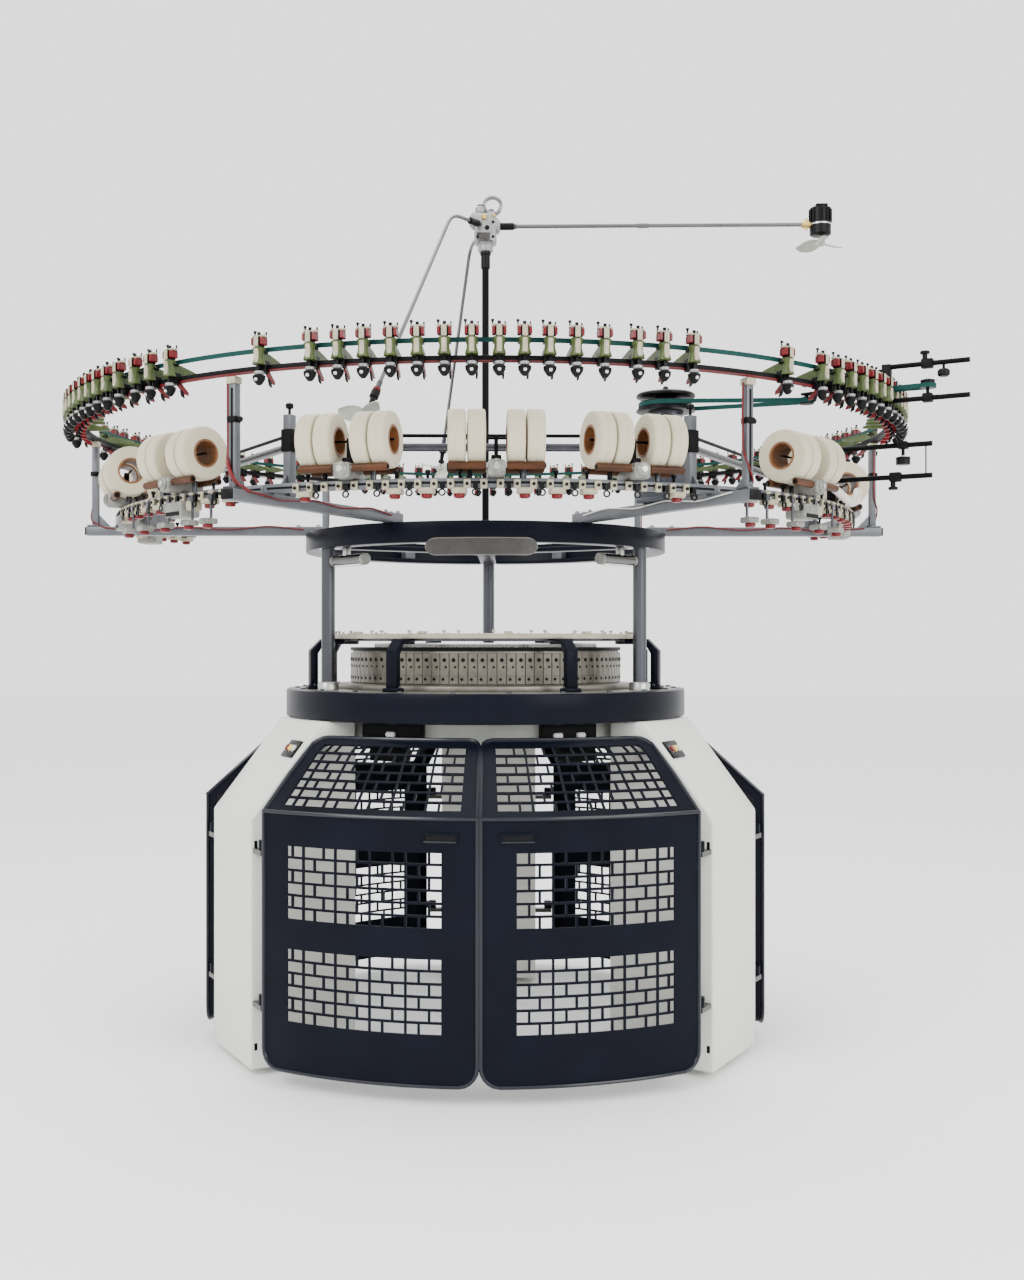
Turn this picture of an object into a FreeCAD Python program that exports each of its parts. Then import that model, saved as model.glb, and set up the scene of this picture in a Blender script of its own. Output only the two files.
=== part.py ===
import FreeCAD, Part
import math
import os
from FreeCAD import Vector

# Circular knitting machine. Millimetres, +Z up. The origin is on the floor, on the machine's axis.
# The front is at -Y. Angles are in degrees from the front, positive towards the right-hand side.

os.makedirs("parts", exist_ok=True)

# ---- Fits and clearances ----
seat_gap = 0.3
running_clearance = 0.05
belt_clearance = 0.4

# ---- Facets: large rings and small round pieces are made with flat faces of these counts ----
ring_facets = 24
wheel_facets = 10
round_facets = 8
pin_facets = 6
roller_facets = 4

# ---- Legs ----
leg_angles = {"left": -60, "right": 60, "rear": 180}
leg_width = 360.0
leg_outer = 905.0
leg_inner = 560.0
leg_wall_top = 775.0
leg_shoulder = 676.0
foot_height = 20.0
foot_radius = 34.0
foot_inset = 60.0
panel_size = 92.0
panel_depth = 62.0
panel_thickness = 6.0
panel_place = 0.7
button_hole_depth = 5.0
button_radius = 10.0
button_height = 9.0
button_travel = 3.0
button_spacing = 26.0

# ---- Bed and knitting head ----
bed_bottom = 1063.0
bed_thickness = 92.0
bed_outer = 677.0
bed_inner = 480.0
bed_edge = 9.0
hub_inner = 440.0
hub_depth = 78.0
gear_thickness = 26.0
gear_outer = 470.0
cylinder_outer = 381.0
cylinder_wall = 36.0
cylinder_height = 243.0
cam_gap = 6.0
cam_outer = 462.0
cam_flange = 510.0
cam_flange_thickness = 16.0
cam_height = 138.0
lubricator_angle = 33.0
lubricator_size = 120.0
lubricator_depth = 60.0
lubricator_drop = 46.0

# ---- Yarn guide ring and its brackets ----
guide_outer = 530.0
guide_width = 26.0
guide_thickness = 28.0
bracket_count = 8
bracket_first_angle = 22.5
bracket_width = 24.0
bracket_outer = 618.0
bracket_bar = 25.0
bracket_height = 153.0
bracket_bend = 38.0

# ---- Columns and crown ----
column_angles = {"left": -60, "right": 60, "rear": 180}
column_circle = 580.0
column_radius = 22.0
nut_size = 68.0
nut_height = 26.0
crown_bottom = 1611.0
crown_height = 63.0
crown_outer = 612.0
crown_rim = 14.0
crown_flange = 67.0
crown_flange_thickness = 15.0
spoke_width = 60.0
hub_radius = 62.0
hub_height = 30.0
lamp_angle = 50.0
lamp_circle = 566.0
lamp_radius = 18.0
lamp_length = 150.0
lamp_drop = 42.0
lamp_stem = 20.0

# ---- Arms, posts and feeder ring ----
ring_turn = 2.0
sector = 60.0
arm_angles = {"front_left": -30, "front_right": 30, "left": -90, "right": 90, "rear_left": -150, "rear_right": 150}
arm_width = 40.0
arm_height = 30.0
arm_inner = 552.0
arm_end = 10.0
post_size = 30.0
ring_circle = 1337.0
ring_bar = 25.0
ring_bottom = 1995.0
ring_thickness = 22.0
rod_circle = 1100.0
stand_size = 26.0
stand_height = 226.0
tube_radius = 11.0
tube_rise = 138.0
rod_radius = 5.0
rod_rise = 170.0
feeder_angles = [-25.5, -19.4, -16.3, -13.5, -10.6, -7.8, -5.0, -2.2, 0.6, 3.2, 5.8, 8.6, 11.6, 15.2, 18.2, 21.7]
feeder_top = 70.0
feeder_drop = 44.0
feeder_head = 30.0
feeder_waist = 16.0
feeder_base = 24.0
feeder_depth = 48.5
belt_rise = 28.0
belt_height = 12.0
belt_thickness = 3.0

# ---- Elastane unwinders ----
rail_circle = 1200.0
rail_width = 26.0
rail_height = 24.0
unit_sets = {"front": [-16, 2.5, 20], "left": [-44.5, -68, -96], "right": [50.5, 88]}
rail_ends = {"front": [-28, 32], "left": [-112, -28], "right": [32, 104]}
rail_step = 12.0
head_overlap = 1.0
bobbin_radius = 75.0
bobbin_pair = 102.0
bobbin_axis_rise = 102.0
roller_radius = 13.0
roller_spread = 42.0
gear_head_width = 46.0
gear_head_depth = 120.0
gear_head_height = 42.0

# ---- Belt drive ----
drive_angle = 33.0
drive_circle = 970.0
drive_box_width = 104.0
drive_box_depth = 120.0
drive_box_height = 140.0
drive_neck_radius = 24.0
pulley_bottom = 1946.0
pulley_height = 66.0
pulley_radius = 83.0
pulley_groove_radius = 74.0
pulley_flange = 6.0
finial_radius = 8.0
finial_height = 22.0
idler_angle = 53.0
idler_offset = 110.0
tension_angle = 61.2
tension_bar = 12.0
upper_bar_end = 120.0
lower_bar_end = 85.0
upper_bar_drop = 5.0
upper_bar_rise = 95.0
lower_bar_rise = 58.0
lower_bar_spacing = 92.0
tension_post = 26.0
tension_block = 30.0
upper_roller_circle = 1480.0
lower_roller_circle = 1410.0
tension_roller_radius = 21.0
tension_roller_height = 24.0
tension_pin_radius = 5.0
tension_grip = 8.0
belt_gate = 29.0

# ---- Blower ----
mast_radius = 12.0
mast_top = 2648.0
head_width = 104.0
head_depth = 90.0
head_height = 150.0
head_motor_radius = 30.0
head_motor_length = 46.0
head_motor_offset = 16.0
head_collar = 20.0
head_collar_radius = 26.4
blower_level = 2737.0
blower_tube_radius = 7.0
long_arm_angle = 90.0
long_arm_reach = 1112.0
long_case_radius = 36.0
long_case_height = 96.0
bent_arm_angles = {"front": -30, "rear": 196}
bend_circle = 215.0
bend_drop = 14.0
bent_arm_circle = 640.0
bent_arm_level = 2072.0
motor_radius = 27.0
motor_length = 70.0
propeller_radius = 91.0
propeller_hub_radius = 16.0
propeller_hub_length = 22.0
blade_width = 46.0
blade_thickness = 4.0
blade_twist = 24.0
shaft_radius = 4.0
shaft_length = 14.0

# ---- Doors ----
door_pair_angles = {"front": 0, "right": 120, "left": 240}
door_arc = 1180.0
door_arc_centre = 310.0
door_half_width = 640.0
door_seam = 5.0
door_bottom = 58.0
door_face_top = 811.0
door_hood_run = 228.0
door_hood_rise = 206.0
door_skin = 7.0
door_flange = 45.0
leg_clearance = 5.0
lower_hinge = 230.0
upper_hinge = 690.0
hinge_block = 30.0
hinge_pin_radius = 7.0
hinge_standoff = 26.0
hinge_inset = 27.0
grille_rib = 7.0
window_margin = 3.4
brick_shift = 0.2
hood_grille_share = 0.74
lower_window_bottom = 178.0
lower_window_height = 255.0
upper_window_bottom = 490.0
upper_window_height = 243.0
window_rows = 3
hood_rows = 2

origin = Vector(0, 0, 0)
up = Vector(0, 0, 1)


# ---- Helpers ----
def polar(radius, angle, height=0.0):
    """Point at a radius and an angle from the front."""
    a = math.radians(angle)
    return Vector(radius * math.sin(a), -radius * math.cos(a), height)


def turned(shape, angle, centre=origin):
    copy = shape.copy()
    copy.rotate(centre, up, angle)
    return copy


def face_of(points):
    return Part.Face(Part.makePolygon(points + points[:1]))


def block(x_range, radius_range, height_range):
    """Box at the front of the machine: across, along the radius and up."""
    low = Vector(x_range[0], -radius_range[1], height_range[0])
    size = [x_range[1] - x_range[0], radius_range[1] - radius_range[0], height_range[1] - height_range[0]]
    return Part.makeBox(size[0], size[1], size[2], low)


def radial_plate(points, width):
    """Plate with a (radius, height) outline, centred on the front plane."""
    outline = [Vector(-width / 2, -r, z) for r, z in points]
    return face_of(outline).extrude(Vector(width, 0, 0))


def closed_solid(faces):
    shell = Part.makeShell(faces)
    shell.sewShape()
    solid = Part.Solid(shell)
    return solid if solid.Volume > 0 else solid.reversed()


def turned_ring(points, facets=ring_facets):
    """Ring with a (radius, height) section, carried round the axis in flat facets."""
    turn = 360.0 / facets
    sections = [[polar(r, turn * k, z) for r, z in points] for k in range(facets)]
    faces = []
    for k, section in enumerate(sections):
        following = sections[(k + 1) % facets]
        for j in range(len(section)):
            i = (j + 1) % len(section)
            faces.append(face_of([section[j], following[j], following[i], section[i]]))
    return closed_solid(faces)


def ring(inner, outer, bottom, height, facets=ring_facets):
    top = bottom + height
    return turned_ring([(inner, bottom), (outer, bottom), (outer, top), (inner, top)], facets)


def prism(sides, radius, centre, direction, length, start=0.0):
    """Straight bar with a regular section."""
    side = direction.cross(up) if abs(direction.z) < 0.9 else Vector(1, 0, 0)
    side = side.normalize()
    other = direction.cross(side).normalize()
    points = []
    for k in range(sides):
        a = math.radians(start + 360.0 * k / sides)
        points.append(centre + side * (radius * math.cos(a)) + other * (radius * math.sin(a)))
    return face_of(points).extrude(Vector(direction).normalize() * length)


def half_step(sides):
    """Turn that lays a flat face, not an edge, at the top of a regular section."""
    return 180.0 / sides


def fused(shapes):
    body = shapes[0].fuse(shapes[1:]) if len(shapes) > 1 else shapes[0]
    return body.removeSplitter()


def export(name, shape):
    shape.exportStep("parts/" + name + ".step")


def around(angle):
    """Turn from the ring's own front to the machine's."""
    return angle + ring_turn


# ---- Heights and radii that follow ----
bed_top = bed_bottom + bed_thickness
crown_top = crown_bottom + crown_height
flange_top = crown_bottom + crown_flange_thickness
arm_top = crown_top + arm_height
ring_top = ring_bottom + ring_thickness
rail_top = arm_top + rail_height
ring_in = ring_circle - ring_bar / 2
ring_out = ring_circle + ring_bar / 2
arm_outer = ring_circle + post_size / 2 + arm_end
feeder_outer = ring_out + feeder_depth


# ---- Legs, feet and push buttons ----
def slope_frame():
    """Middle of the leg's sloped face, its direction up the slope and its outward normal."""
    low = Vector(0, -leg_outer, leg_wall_top)
    high = Vector(0, -leg_shoulder, bed_bottom)
    along = (high - low).normalize()
    normal = along.cross(Vector(1, 0, 0)).normalize()
    if normal.z < 0:
        normal = normal * -1
    return low + (high - low) * panel_place, along, normal


def sloped_box(width, depth, thickness, offset_across=0.0, lift=0.0):
    """Box lying on the leg's sloped face."""
    middle, along, normal = slope_frame()
    across = Vector(1, 0, 0)
    corner = middle + across * (offset_across - width / 2) - along * (depth / 2) + normal * lift
    points = [corner, corner + across * width, corner + across * width + along * depth, corner + along * depth]
    return face_of(points).extrude(normal * thickness)


def leg():
    outline = [
        (leg_inner, foot_height),
        (leg_outer, foot_height),
        (leg_outer, leg_wall_top),
        (leg_shoulder, bed_bottom),
        (leg_inner, bed_bottom),
    ]
    return radial_plate(outline, leg_width)


def button_prism(place, side, radius, lift, height):
    """Round bar square to the leg's sloped face at one button's place."""
    middle, along, normal = slope_frame()
    base = middle + Vector(1, 0, 0) * (panel_offset[side] + place * button_spacing)
    return prism(pin_facets, radius, base + normal * lift, normal, height)


button_colours = {-1: "red", 0: "yellow", 1: "white"}
panel_offset = {"left": leg_width / 2 - panel_size * 0.75, "right": panel_size * 0.75 - leg_width / 2, "rear": 0.0}
for name, angle in leg_angles.items():
    cabinet = leg()
    if name != "rear":
        plate = sloped_box(panel_size, panel_depth, panel_thickness, panel_offset[name])
        holes = [button_prism(place, name, button_radius + seat_gap, panel_thickness - button_hole_depth, panel_depth)
                 for place in button_colours]
        cabinet = fused([cabinet, plate.cut(holes)])
    export("leg_" + name, turned(cabinet, angle))

feet = []
for angle in leg_angles.values():
    for radius in (leg_inner + foot_inset, leg_outer - foot_inset):
        feet.append(prism(pin_facets, foot_radius, polar(radius, angle), up, foot_height))
export("levelling_feet", Part.makeCompound(feet))


button_rest = panel_thickness - button_hole_depth + button_travel + seat_gap
for side in ("left", "right"):
    for place, colour in button_colours.items():
        button = button_prism(place, side, button_radius, button_rest, button_height)
        export("button_" + colour + "_" + side, turned(button, leg_angles[side]))

# ---- Bed, bearing hub and knitting head ----
bed = turned_ring([
    (bed_inner, bed_bottom),
    (bed_outer, bed_bottom),
    (bed_outer, bed_top - bed_edge),
    (bed_outer - bed_edge, bed_top),
    (bed_inner, bed_top),
])
export("bed_ring", bed)

hub_bottom = bed_bottom - hub_depth
hub_outer = leg_inner - seat_gap
boxes = [ring(hub_inner, hub_outer, hub_bottom, hub_depth)]
half = lubricator_size / 2
lubricator = block((-half, half), (hub_outer - lubricator_depth, hub_outer),
                   (hub_bottom - seat_gap - lubricator_drop, hub_bottom - seat_gap))
for turn in (0, 120, 240):
    for side in (-1, 1):
        boxes.append(turned(lubricator, turn + side * lubricator_angle))
export("bearing_hub", Part.makeCompound(boxes))

gear_bottom = bed_bottom + seat_gap
cylinder_inner = cylinder_outer - cylinder_wall
needle_cylinder = turned_ring([
    (cylinder_inner, gear_bottom),
    (gear_outer, gear_bottom),
    (gear_outer, gear_bottom + gear_thickness),
    (cylinder_outer, gear_bottom + gear_thickness),
    (cylinder_outer, gear_bottom + cylinder_height),
    (cylinder_inner, gear_bottom + cylinder_height),
])
export("needle_cylinder", needle_cylinder)

cam_inner = cylinder_outer + cam_gap
cam_top = bed_top + cam_height
cam_seat = bed_top + cam_flange_thickness
cam = turned_ring([
    (cam_inner, bed_top),
    (cam_flange, bed_top),
    (cam_flange, cam_seat),
    (cam_outer, cam_seat),
    (cam_outer, cam_top),
    (cam_inner, cam_top),
])
export("cam_ring", cam)

# ---- Yarn guide ring on its brackets ----
guide_bottom = bed_top + bracket_height
tip = guide_outer - guide_width
bracket_in = bracket_outer - bracket_bar
bracket = radial_plate([
    (bracket_outer, bed_top),
    (bracket_outer, guide_bottom - bracket_bend),
    (bracket_outer - bracket_bend, guide_bottom),
    (tip, guide_bottom),
    (tip, guide_bottom - bracket_bar * 0.7),
    (bracket_in, guide_bottom - bracket_bend - bracket_bar * 0.3),
    (bracket_in, bed_top),
], bracket_width)
guide_parts = [ring(tip, guide_outer, guide_bottom, guide_thickness)]
for k in range(bracket_count):
    guide_parts.append(turned(bracket, bracket_first_angle + 360.0 * k / bracket_count))
export("yarn_guide_ring", fused(guide_parts))

# ---- Columns and their nuts ----
nuts = []
for name, angle in column_angles.items():
    foot = polar(column_circle, angle, bed_top)
    export("column_" + name, prism(round_facets, column_radius, foot, up, crown_bottom - bed_top))
    nut = prism(6, nut_size / 2, foot, up, nut_height)
    hole_radius = column_radius + running_clearance / math.cos(math.pi / round_facets)
    nuts.append(nut.cut(prism(round_facets, hole_radius, foot, up, nut_height)))
export("column_nuts", Part.makeCompound(nuts))

# ---- Crown ring with its spider ----
crown_in = crown_outer - crown_flange
crown_parts = [turned_ring([
    (crown_in, crown_bottom),
    (crown_outer, crown_bottom),
    (crown_outer, crown_top),
    (crown_outer - crown_rim, crown_top),
    (crown_outer - crown_rim, flange_top),
    (crown_in, flange_top),
])]
spoke = block((-spoke_width / 2, spoke_width / 2), (0, crown_in + crown_rim), (crown_bottom, flange_top))
for angle in column_angles.values():
    crown_parts.append(turned(spoke, angle))
crown_parts.append(prism(round_facets, hub_radius, Vector(0, 0, crown_bottom), up, hub_height))
export("crown_ring", fused(crown_parts))

# ---- Lamps under the crown ----
lamp_axis = crown_bottom - lamp_drop
for name, side in (("left", -1), ("right", 1)):
    tube = prism(round_facets, lamp_radius, Vector(-lamp_length / 2, -lamp_circle, lamp_axis),
                 Vector(1, 0, 0), lamp_length)
    half = lamp_stem / 2
    stem = block((-half, half), (lamp_circle - half, lamp_circle + half), (lamp_axis, crown_bottom))
    export("lamp_" + name, turned(fused([tube, stem]), side * lamp_angle))

# ---- Arms with their posts and rod stands ----
front_arms = ("front_left", "front_right", "left", "right")
foot_in = (crown_outer - crown_rim) * math.cos(math.pi / ring_facets) - seat_gap
for name, angle in arm_angles.items():
    half = arm_width / 2
    grip = post_size / 2
    pieces = [
        block((-half, half), (arm_inner, arm_outer), (crown_top, arm_top)),
        block((-half, half), (arm_inner, foot_in), (flange_top, crown_top)),
        block((-grip, grip), (ring_circle - grip, ring_circle + grip), (arm_top, ring_bottom)),
    ]
    if name in front_arms:
        grip = stand_size / 2
        pieces.append(block((-grip, grip), (rod_circle - grip, rod_circle + grip), (arm_top, arm_top + stand_height)))
    export("arm_" + name, turned(fused(pieces), around(angle)))


def span_bar(radius, rise, start_angle, end_angle, sides):
    """Straight bar between the stands of two arms, its ends cut flat against them."""
    start = polar(rod_circle, around(start_angle), arm_top + rise)
    end = polar(rod_circle, around(end_angle), arm_top + rise)
    half = stand_size / 2 + seat_gap
    trim = block((-half, half), (rod_circle - stand_size, rod_circle + stand_size), (arm_top, arm_top + stand_height))
    bar = prism(sides, radius, start, end - start, (end - start).Length)
    return bar.cut([turned(trim, around(start_angle)), turned(trim, around(end_angle))])


spans = [(-90, -30), (-30, 30), (30, 90)]
tubes = [span_bar(tube_radius, tube_rise, a, b, pin_facets) for a, b in spans]
rods = [span_bar(rod_radius, rod_rise, a, b, 4) for a, b in spans]
export("guard_rails", Part.makeCompound(tubes + rods))


# ---- Feeder ring: six bars, each with its feeders ----
def feeder(back):
    """Feeder body: broad head, narrow waist, and the stop-motion part that hangs below the bar."""
    waist_height = (ring_top + ring_bottom + feeder_top - feeder_drop) / 2
    right_side = [
        (feeder_base / 2, ring_bottom - feeder_drop),
        (feeder_waist / 2, waist_height),
        (feeder_head / 2, ring_top + feeder_top),
    ]
    outline = [Vector(x, -back, z) for x, z in right_side]
    outline += [Vector(-x, -back, z) for x, z in reversed(right_side)]
    return face_of(outline).extrude(Vector(0, back - feeder_outer, 0))


# the bar is straight behind each pair of feeders and bends halfway between two pairs
pairs = list(zip(feeder_angles[::2], feeder_angles[1::2]))
bends = [-sector / 2] + [(a[1] + b[0]) / 2 for a, b in zip(pairs[:-1], pairs[1:])] + [sector / 2]
outer = [polar(ring_out, a, ring_bottom) for a in bends]
inner = [polar(ring_in, a, ring_bottom) for a in reversed(bends)]
sector_parts = [face_of(outer + inner).extrude(Vector(0, 0, ring_thickness))]
for pair, start, end in zip(pairs, bends[:-1], bends[1:]):
    square = (start + end) / 2
    back = ring_out * math.cos(math.radians((end - start) / 2)) + seat_gap
    for angle in pair:
        one_feeder = feeder(back)
        one_feeder.translate(Vector(back * math.tan(math.radians(angle - square)), 0, 0))
        sector_parts.append(turned(one_feeder, square))
ring_sector = Part.makeCompound(sector_parts)
sector_names = ["front", "front_right", "rear_right", "rear", "rear_left", "front_left"]
for k, name in enumerate(sector_names):
    export("feeder_ring_" + name, turned(ring_sector, around(k * sector)))

# ---- Belts ----
belt_bottom = ring_top + belt_rise
drive_belt_bottom = pulley_bottom + (pulley_height - belt_height) / 2


def racetrack(length, radius, steps):
    """Outline round two wheels of one size, with each half turn in flat steps."""
    points = []
    for k in range(steps + 1):
        a = math.radians(90.0 + 180.0 * k / steps)
        points.append(Vector(radius * math.cos(a), radius * math.sin(a), 0))
    for k in range(steps + 1):
        a = math.radians(-90.0 + 180.0 * k / steps)
        points.append(Vector(length + radius * math.cos(a), radius * math.sin(a), 0))
    return face_of(points)


def way_out(gate, cover):
    """Outline of the belt's way out between two feeders and round the upper tension roller."""
    radius = (tension_roller_radius + belt_clearance) / math.cos(math.pi / 2 / roller_facets) + cover
    points = [Vector(-gate, -ring_in, belt_bottom)]
    for k in range(roller_facets + 1):
        a = math.pi * (1 - k / roller_facets)
        points.append(Vector(radius * math.cos(a), -upper_roller_circle - radius * math.sin(a), belt_bottom))
    points.append(Vector(gate, -ring_in, belt_bottom))
    return turned(face_of(points), tension_angle)


pulley_centre = polar(drive_circle, drive_angle)
idler_centre = polar(ring_in - idler_offset, around(idler_angle))
belt_bends = [around(k * sector + a) for k in range(len(sector_names)) for a in bends[1:]]
belt_sides = []
for inset, gate in ((0, belt_gate / 2 + belt_thickness), (belt_thickness, belt_gate / 2)):
    round_ring = face_of([polar(ring_out - inset, a, belt_bottom) for a in belt_bends])
    belt_sides.append(round_ring.fuse(way_out(gate, belt_thickness - inset)).removeSplitter())
main_belt = belt_sides[0].cut(belt_sides[1]).extrude(Vector(0, 0, belt_height))
belt_line = idler_centre - pulley_centre
loop_steps = wheel_facets // 2
loop_radius = (pulley_groove_radius + belt_clearance) / math.cos(math.pi / 2 / loop_steps)
loop = racetrack(belt_line.Length, loop_radius + belt_thickness, loop_steps)
loop = loop.cut(racetrack(belt_line.Length, loop_radius, loop_steps)).extrude(Vector(0, 0, belt_height))
belt_direction = math.degrees(math.atan2(belt_line.y, belt_line.x))
loop.rotate(origin, up, belt_direction)
loop.translate(pulley_centre + up * drive_belt_bottom)
export("feeder_belts", Part.makeCompound([main_belt, loop]))


# ---- Elastane unwinders ----
def unwinder():
    """Gear head with its rollers and the bobbins that rest on them."""
    half_head = gear_head_width / 2
    reach = half_head + bobbin_pair
    half_depth = gear_head_depth / 2
    axis_height = rail_top + bobbin_axis_rise
    touch = bobbin_radius + roller_radius
    roller_height = axis_height - math.sqrt(touch * touch - roller_spread * roller_spread) + seat_gap
    pieces = [block((-half_head, half_head), (rail_circle - half_depth, rail_circle + half_depth),
                    (rail_top - head_overlap, rail_top + gear_head_height))]
    for side in (-1, 1):
        centre = Vector(-reach, -(rail_circle + side * roller_spread), roller_height)
        pieces.append(prism(roller_facets, roller_radius, centre, Vector(1, 0, 0), 2 * reach, half_step(roller_facets)))
        start = half_head + seat_gap if side > 0 else -reach
        centre = Vector(start, -rail_circle, axis_height)
        pieces.append(prism(round_facets, bobbin_radius, centre, Vector(1, 0, 0), bobbin_pair - seat_gap,
                            half_step(round_facets)))
    return fused(pieces)


def chord_rail(start, end):
    """Rail of short straight lengths between two angles."""
    steps = math.ceil((end - start) / rail_step)
    angles = [start + (end - start) * k / steps for k in range(steps + 1)]
    outer = [polar(rail_circle + rail_width / 2, a, arm_top) for a in angles]
    inner = [polar(rail_circle - rail_width / 2, a, arm_top) for a in reversed(angles)]
    return face_of(outer + inner).extrude(Vector(0, 0, rail_height))


one_unit = unwinder()
for name, units in unit_sets.items():
    pieces = [chord_rail(*rail_ends[name])] + [turned(one_unit, a) for a in units]
    export("unwinder_bank_" + name, fused(pieces))

# ---- Drive gearbox and pulley ----
drive_box = block((-drive_box_width / 2, drive_box_width / 2),
                  (drive_circle - drive_box_depth / 2, drive_circle + drive_box_depth / 2),
                  (arm_top, arm_top + drive_box_height))
neck_bottom = arm_top + drive_box_height
neck = prism(pin_facets, drive_neck_radius, Vector(0, -drive_circle, neck_bottom), up,
             pulley_bottom - seat_gap - neck_bottom)
export("drive_gearbox", turned(fused([drive_box, neck]), drive_angle))

pulley_top = pulley_bottom + pulley_height
pulley_axis = Vector(0, 0, pulley_bottom)
wheel = [
    prism(wheel_facets, pulley_radius, pulley_axis, up, pulley_flange),
    prism(wheel_facets, pulley_groove_radius, pulley_axis, up, pulley_height),
    prism(wheel_facets, pulley_radius, Vector(0, 0, pulley_top - pulley_flange), up, pulley_flange),
    prism(pin_facets, finial_radius, Vector(0, 0, pulley_top), up, finial_height),
]
pulley = turned(fused(wheel), belt_direction)
pulley.translate(pulley_centre)
export("drive_pulley", pulley)


# ---- Belt tensioners ----
def tensioner(start, foot, reach, levels, roller_circle):
    """Two bars, the post that carries them and the pin under the roller."""
    half = tension_bar / 2
    post_half = tension_post / 2
    grip = tension_block / 2
    bottom, top = levels
    block_top = bottom + tension_bar + tension_grip
    roller_bottom = (top + bottom + tension_bar - tension_roller_height) / 2
    pieces = [block((-half, half), (start, reach), (level, level + tension_bar)) for level in levels]
    pieces.append(block((-post_half, post_half), (start, start + tension_post), (foot, top + tension_bar)))
    pieces.append(block((-grip, grip), (roller_circle - grip, roller_circle + grip), (bottom - tension_grip, block_top)))
    pieces.append(prism(pin_facets, tension_pin_radius, Vector(0, -roller_circle, block_top), up,
                        roller_bottom - seat_gap - block_top))
    return turned(fused(pieces), tension_angle), roller_bottom


upper_levels = [ring_bottom - upper_bar_drop, ring_top + upper_bar_rise]
lower_levels = [rail_top + lower_bar_rise, rail_top + lower_bar_rise + lower_bar_spacing]
tensioners = {
    "upper": (ring_out + seat_gap, upper_levels[0], upper_levels, upper_roller_circle, upper_bar_end),
    "lower": (rail_circle - tension_post / 2, rail_top + seat_gap, lower_levels, lower_roller_circle, lower_bar_end),
}
for name, (start, foot, levels, roller_circle, bar_end) in tensioners.items():
    bars, roller_bottom = tensioner(start, foot, roller_circle + bar_end, levels, roller_circle)
    roller_centre = polar(roller_circle, tension_angle, roller_bottom)
    export("belt_tensioner_" + name, bars)
    export("tension_roller_" + name, prism(round_facets, tension_roller_radius, roller_centre, up,
                                           tension_roller_height))

# ---- Mast and blower ----
mast_bottom = crown_bottom + hub_height
export("mast", prism(round_facets, mast_radius, Vector(0, 0, mast_bottom), up, mast_top - mast_bottom))

head_bottom = mast_top + seat_gap
head_top = head_bottom + head_height
head_half = head_width / 2
head_box = block((-head_half, head_half), (-head_depth / 2, head_depth / 2), (head_bottom + head_collar, head_top))
collar = prism(pin_facets, head_collar_radius, Vector(0, 0, head_bottom), up, head_collar)
head_motor = prism(round_facets, head_motor_radius, Vector(head_motor_offset, 0, head_top), up, head_motor_length)
export("blower_head", fused([head_box, collar, head_motor]))


def propeller(centre, direction):
    """Hub with three pitched blades; direction points away from the motor."""
    middle = propeller_hub_length / 2
    pieces = [prism(pin_facets, propeller_hub_radius, origin, up, propeller_hub_length)]
    root = propeller_hub_radius * 0.75
    outline = [
        Vector(-blade_width * 0.3, -root, 0),
        Vector(blade_width * 0.3, -root, 0),
        Vector(blade_width * 0.6, -propeller_radius * 0.8, 0),
        Vector(-blade_width * 0.3, -propeller_radius, 0),
    ]
    blade = face_of(outline).extrude(Vector(0, 0, blade_thickness))
    blade.translate(Vector(0, 0, middle - blade_thickness / 2))
    blade.rotate(Vector(0, 0, middle), Vector(0, 1, 0), blade_twist)
    pieces += [turned(blade, 120 * k) for k in range(3)]
    whole = fused(pieces)
    whole.Placement = FreeCAD.Placement(centre, FreeCAD.Rotation(up, direction))
    return whole


# long level arm
down = Vector(0, 0, -1)
outward = Vector(0, -1, 0)
case_bottom = blower_level - long_case_height * 0.4
case_axis = -(long_arm_reach + long_case_radius * 0.9)
long_arm = fused([
    prism(pin_facets, blower_tube_radius, Vector(0, -head_half, blower_level), outward, long_arm_reach - head_half),
    prism(round_facets, long_case_radius, Vector(0, case_axis, case_bottom), up, long_case_height),
    prism(4, shaft_radius, Vector(0, case_axis, case_bottom - shaft_length), up, shaft_length),
])
long_fan = propeller(Vector(0, case_axis, case_bottom - shaft_length - seat_gap), down)
export("blower_arm_long", turned(long_arm, long_arm_angle))
export("propeller_long", turned(long_fan, long_arm_angle))

# bent arms
for name, angle in bent_arm_angles.items():
    root = Vector(0, -head_depth / 4, blower_level)
    bend = Vector(0, -bend_circle, blower_level - bend_drop)
    end = Vector(0, -bent_arm_circle, bent_arm_level)
    slope = (end - bend).normalize()
    level = (bend - root).normalize()
    overlap = blower_tube_radius * 0.5
    tail = end + slope * motor_length
    pieces = [
        prism(pin_facets, blower_tube_radius, root, level, (bend - root).Length + overlap),
        prism(pin_facets, blower_tube_radius, bend - slope * overlap, slope, (end - bend).Length + overlap),
        prism(round_facets, motor_radius, end, slope, motor_length),
        prism(4, shaft_radius, tail, slope, shaft_length),
    ]
    export("blower_arm_" + name, turned(fused(pieces), angle).cut(head_box))
    fan = propeller(tail + slope * (shaft_length + seat_gap), slope)
    export("propeller_" + name, turned(fan, angle))

# ---- Doors ----
door_angle = math.degrees(math.asin(door_half_width / door_arc))
seam_angle = math.degrees(math.asin(door_seam / door_arc))
hood_top = door_face_top + door_hood_rise
hood_arc = door_arc - door_hood_run
hood_length = math.hypot(door_hood_run, door_hood_rise)
hood_out = door_hood_rise / hood_length
hood_up = door_hood_run / hood_length
half_bend = math.tan(math.atan2(door_hood_run, door_hood_rise) / 2)


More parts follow.
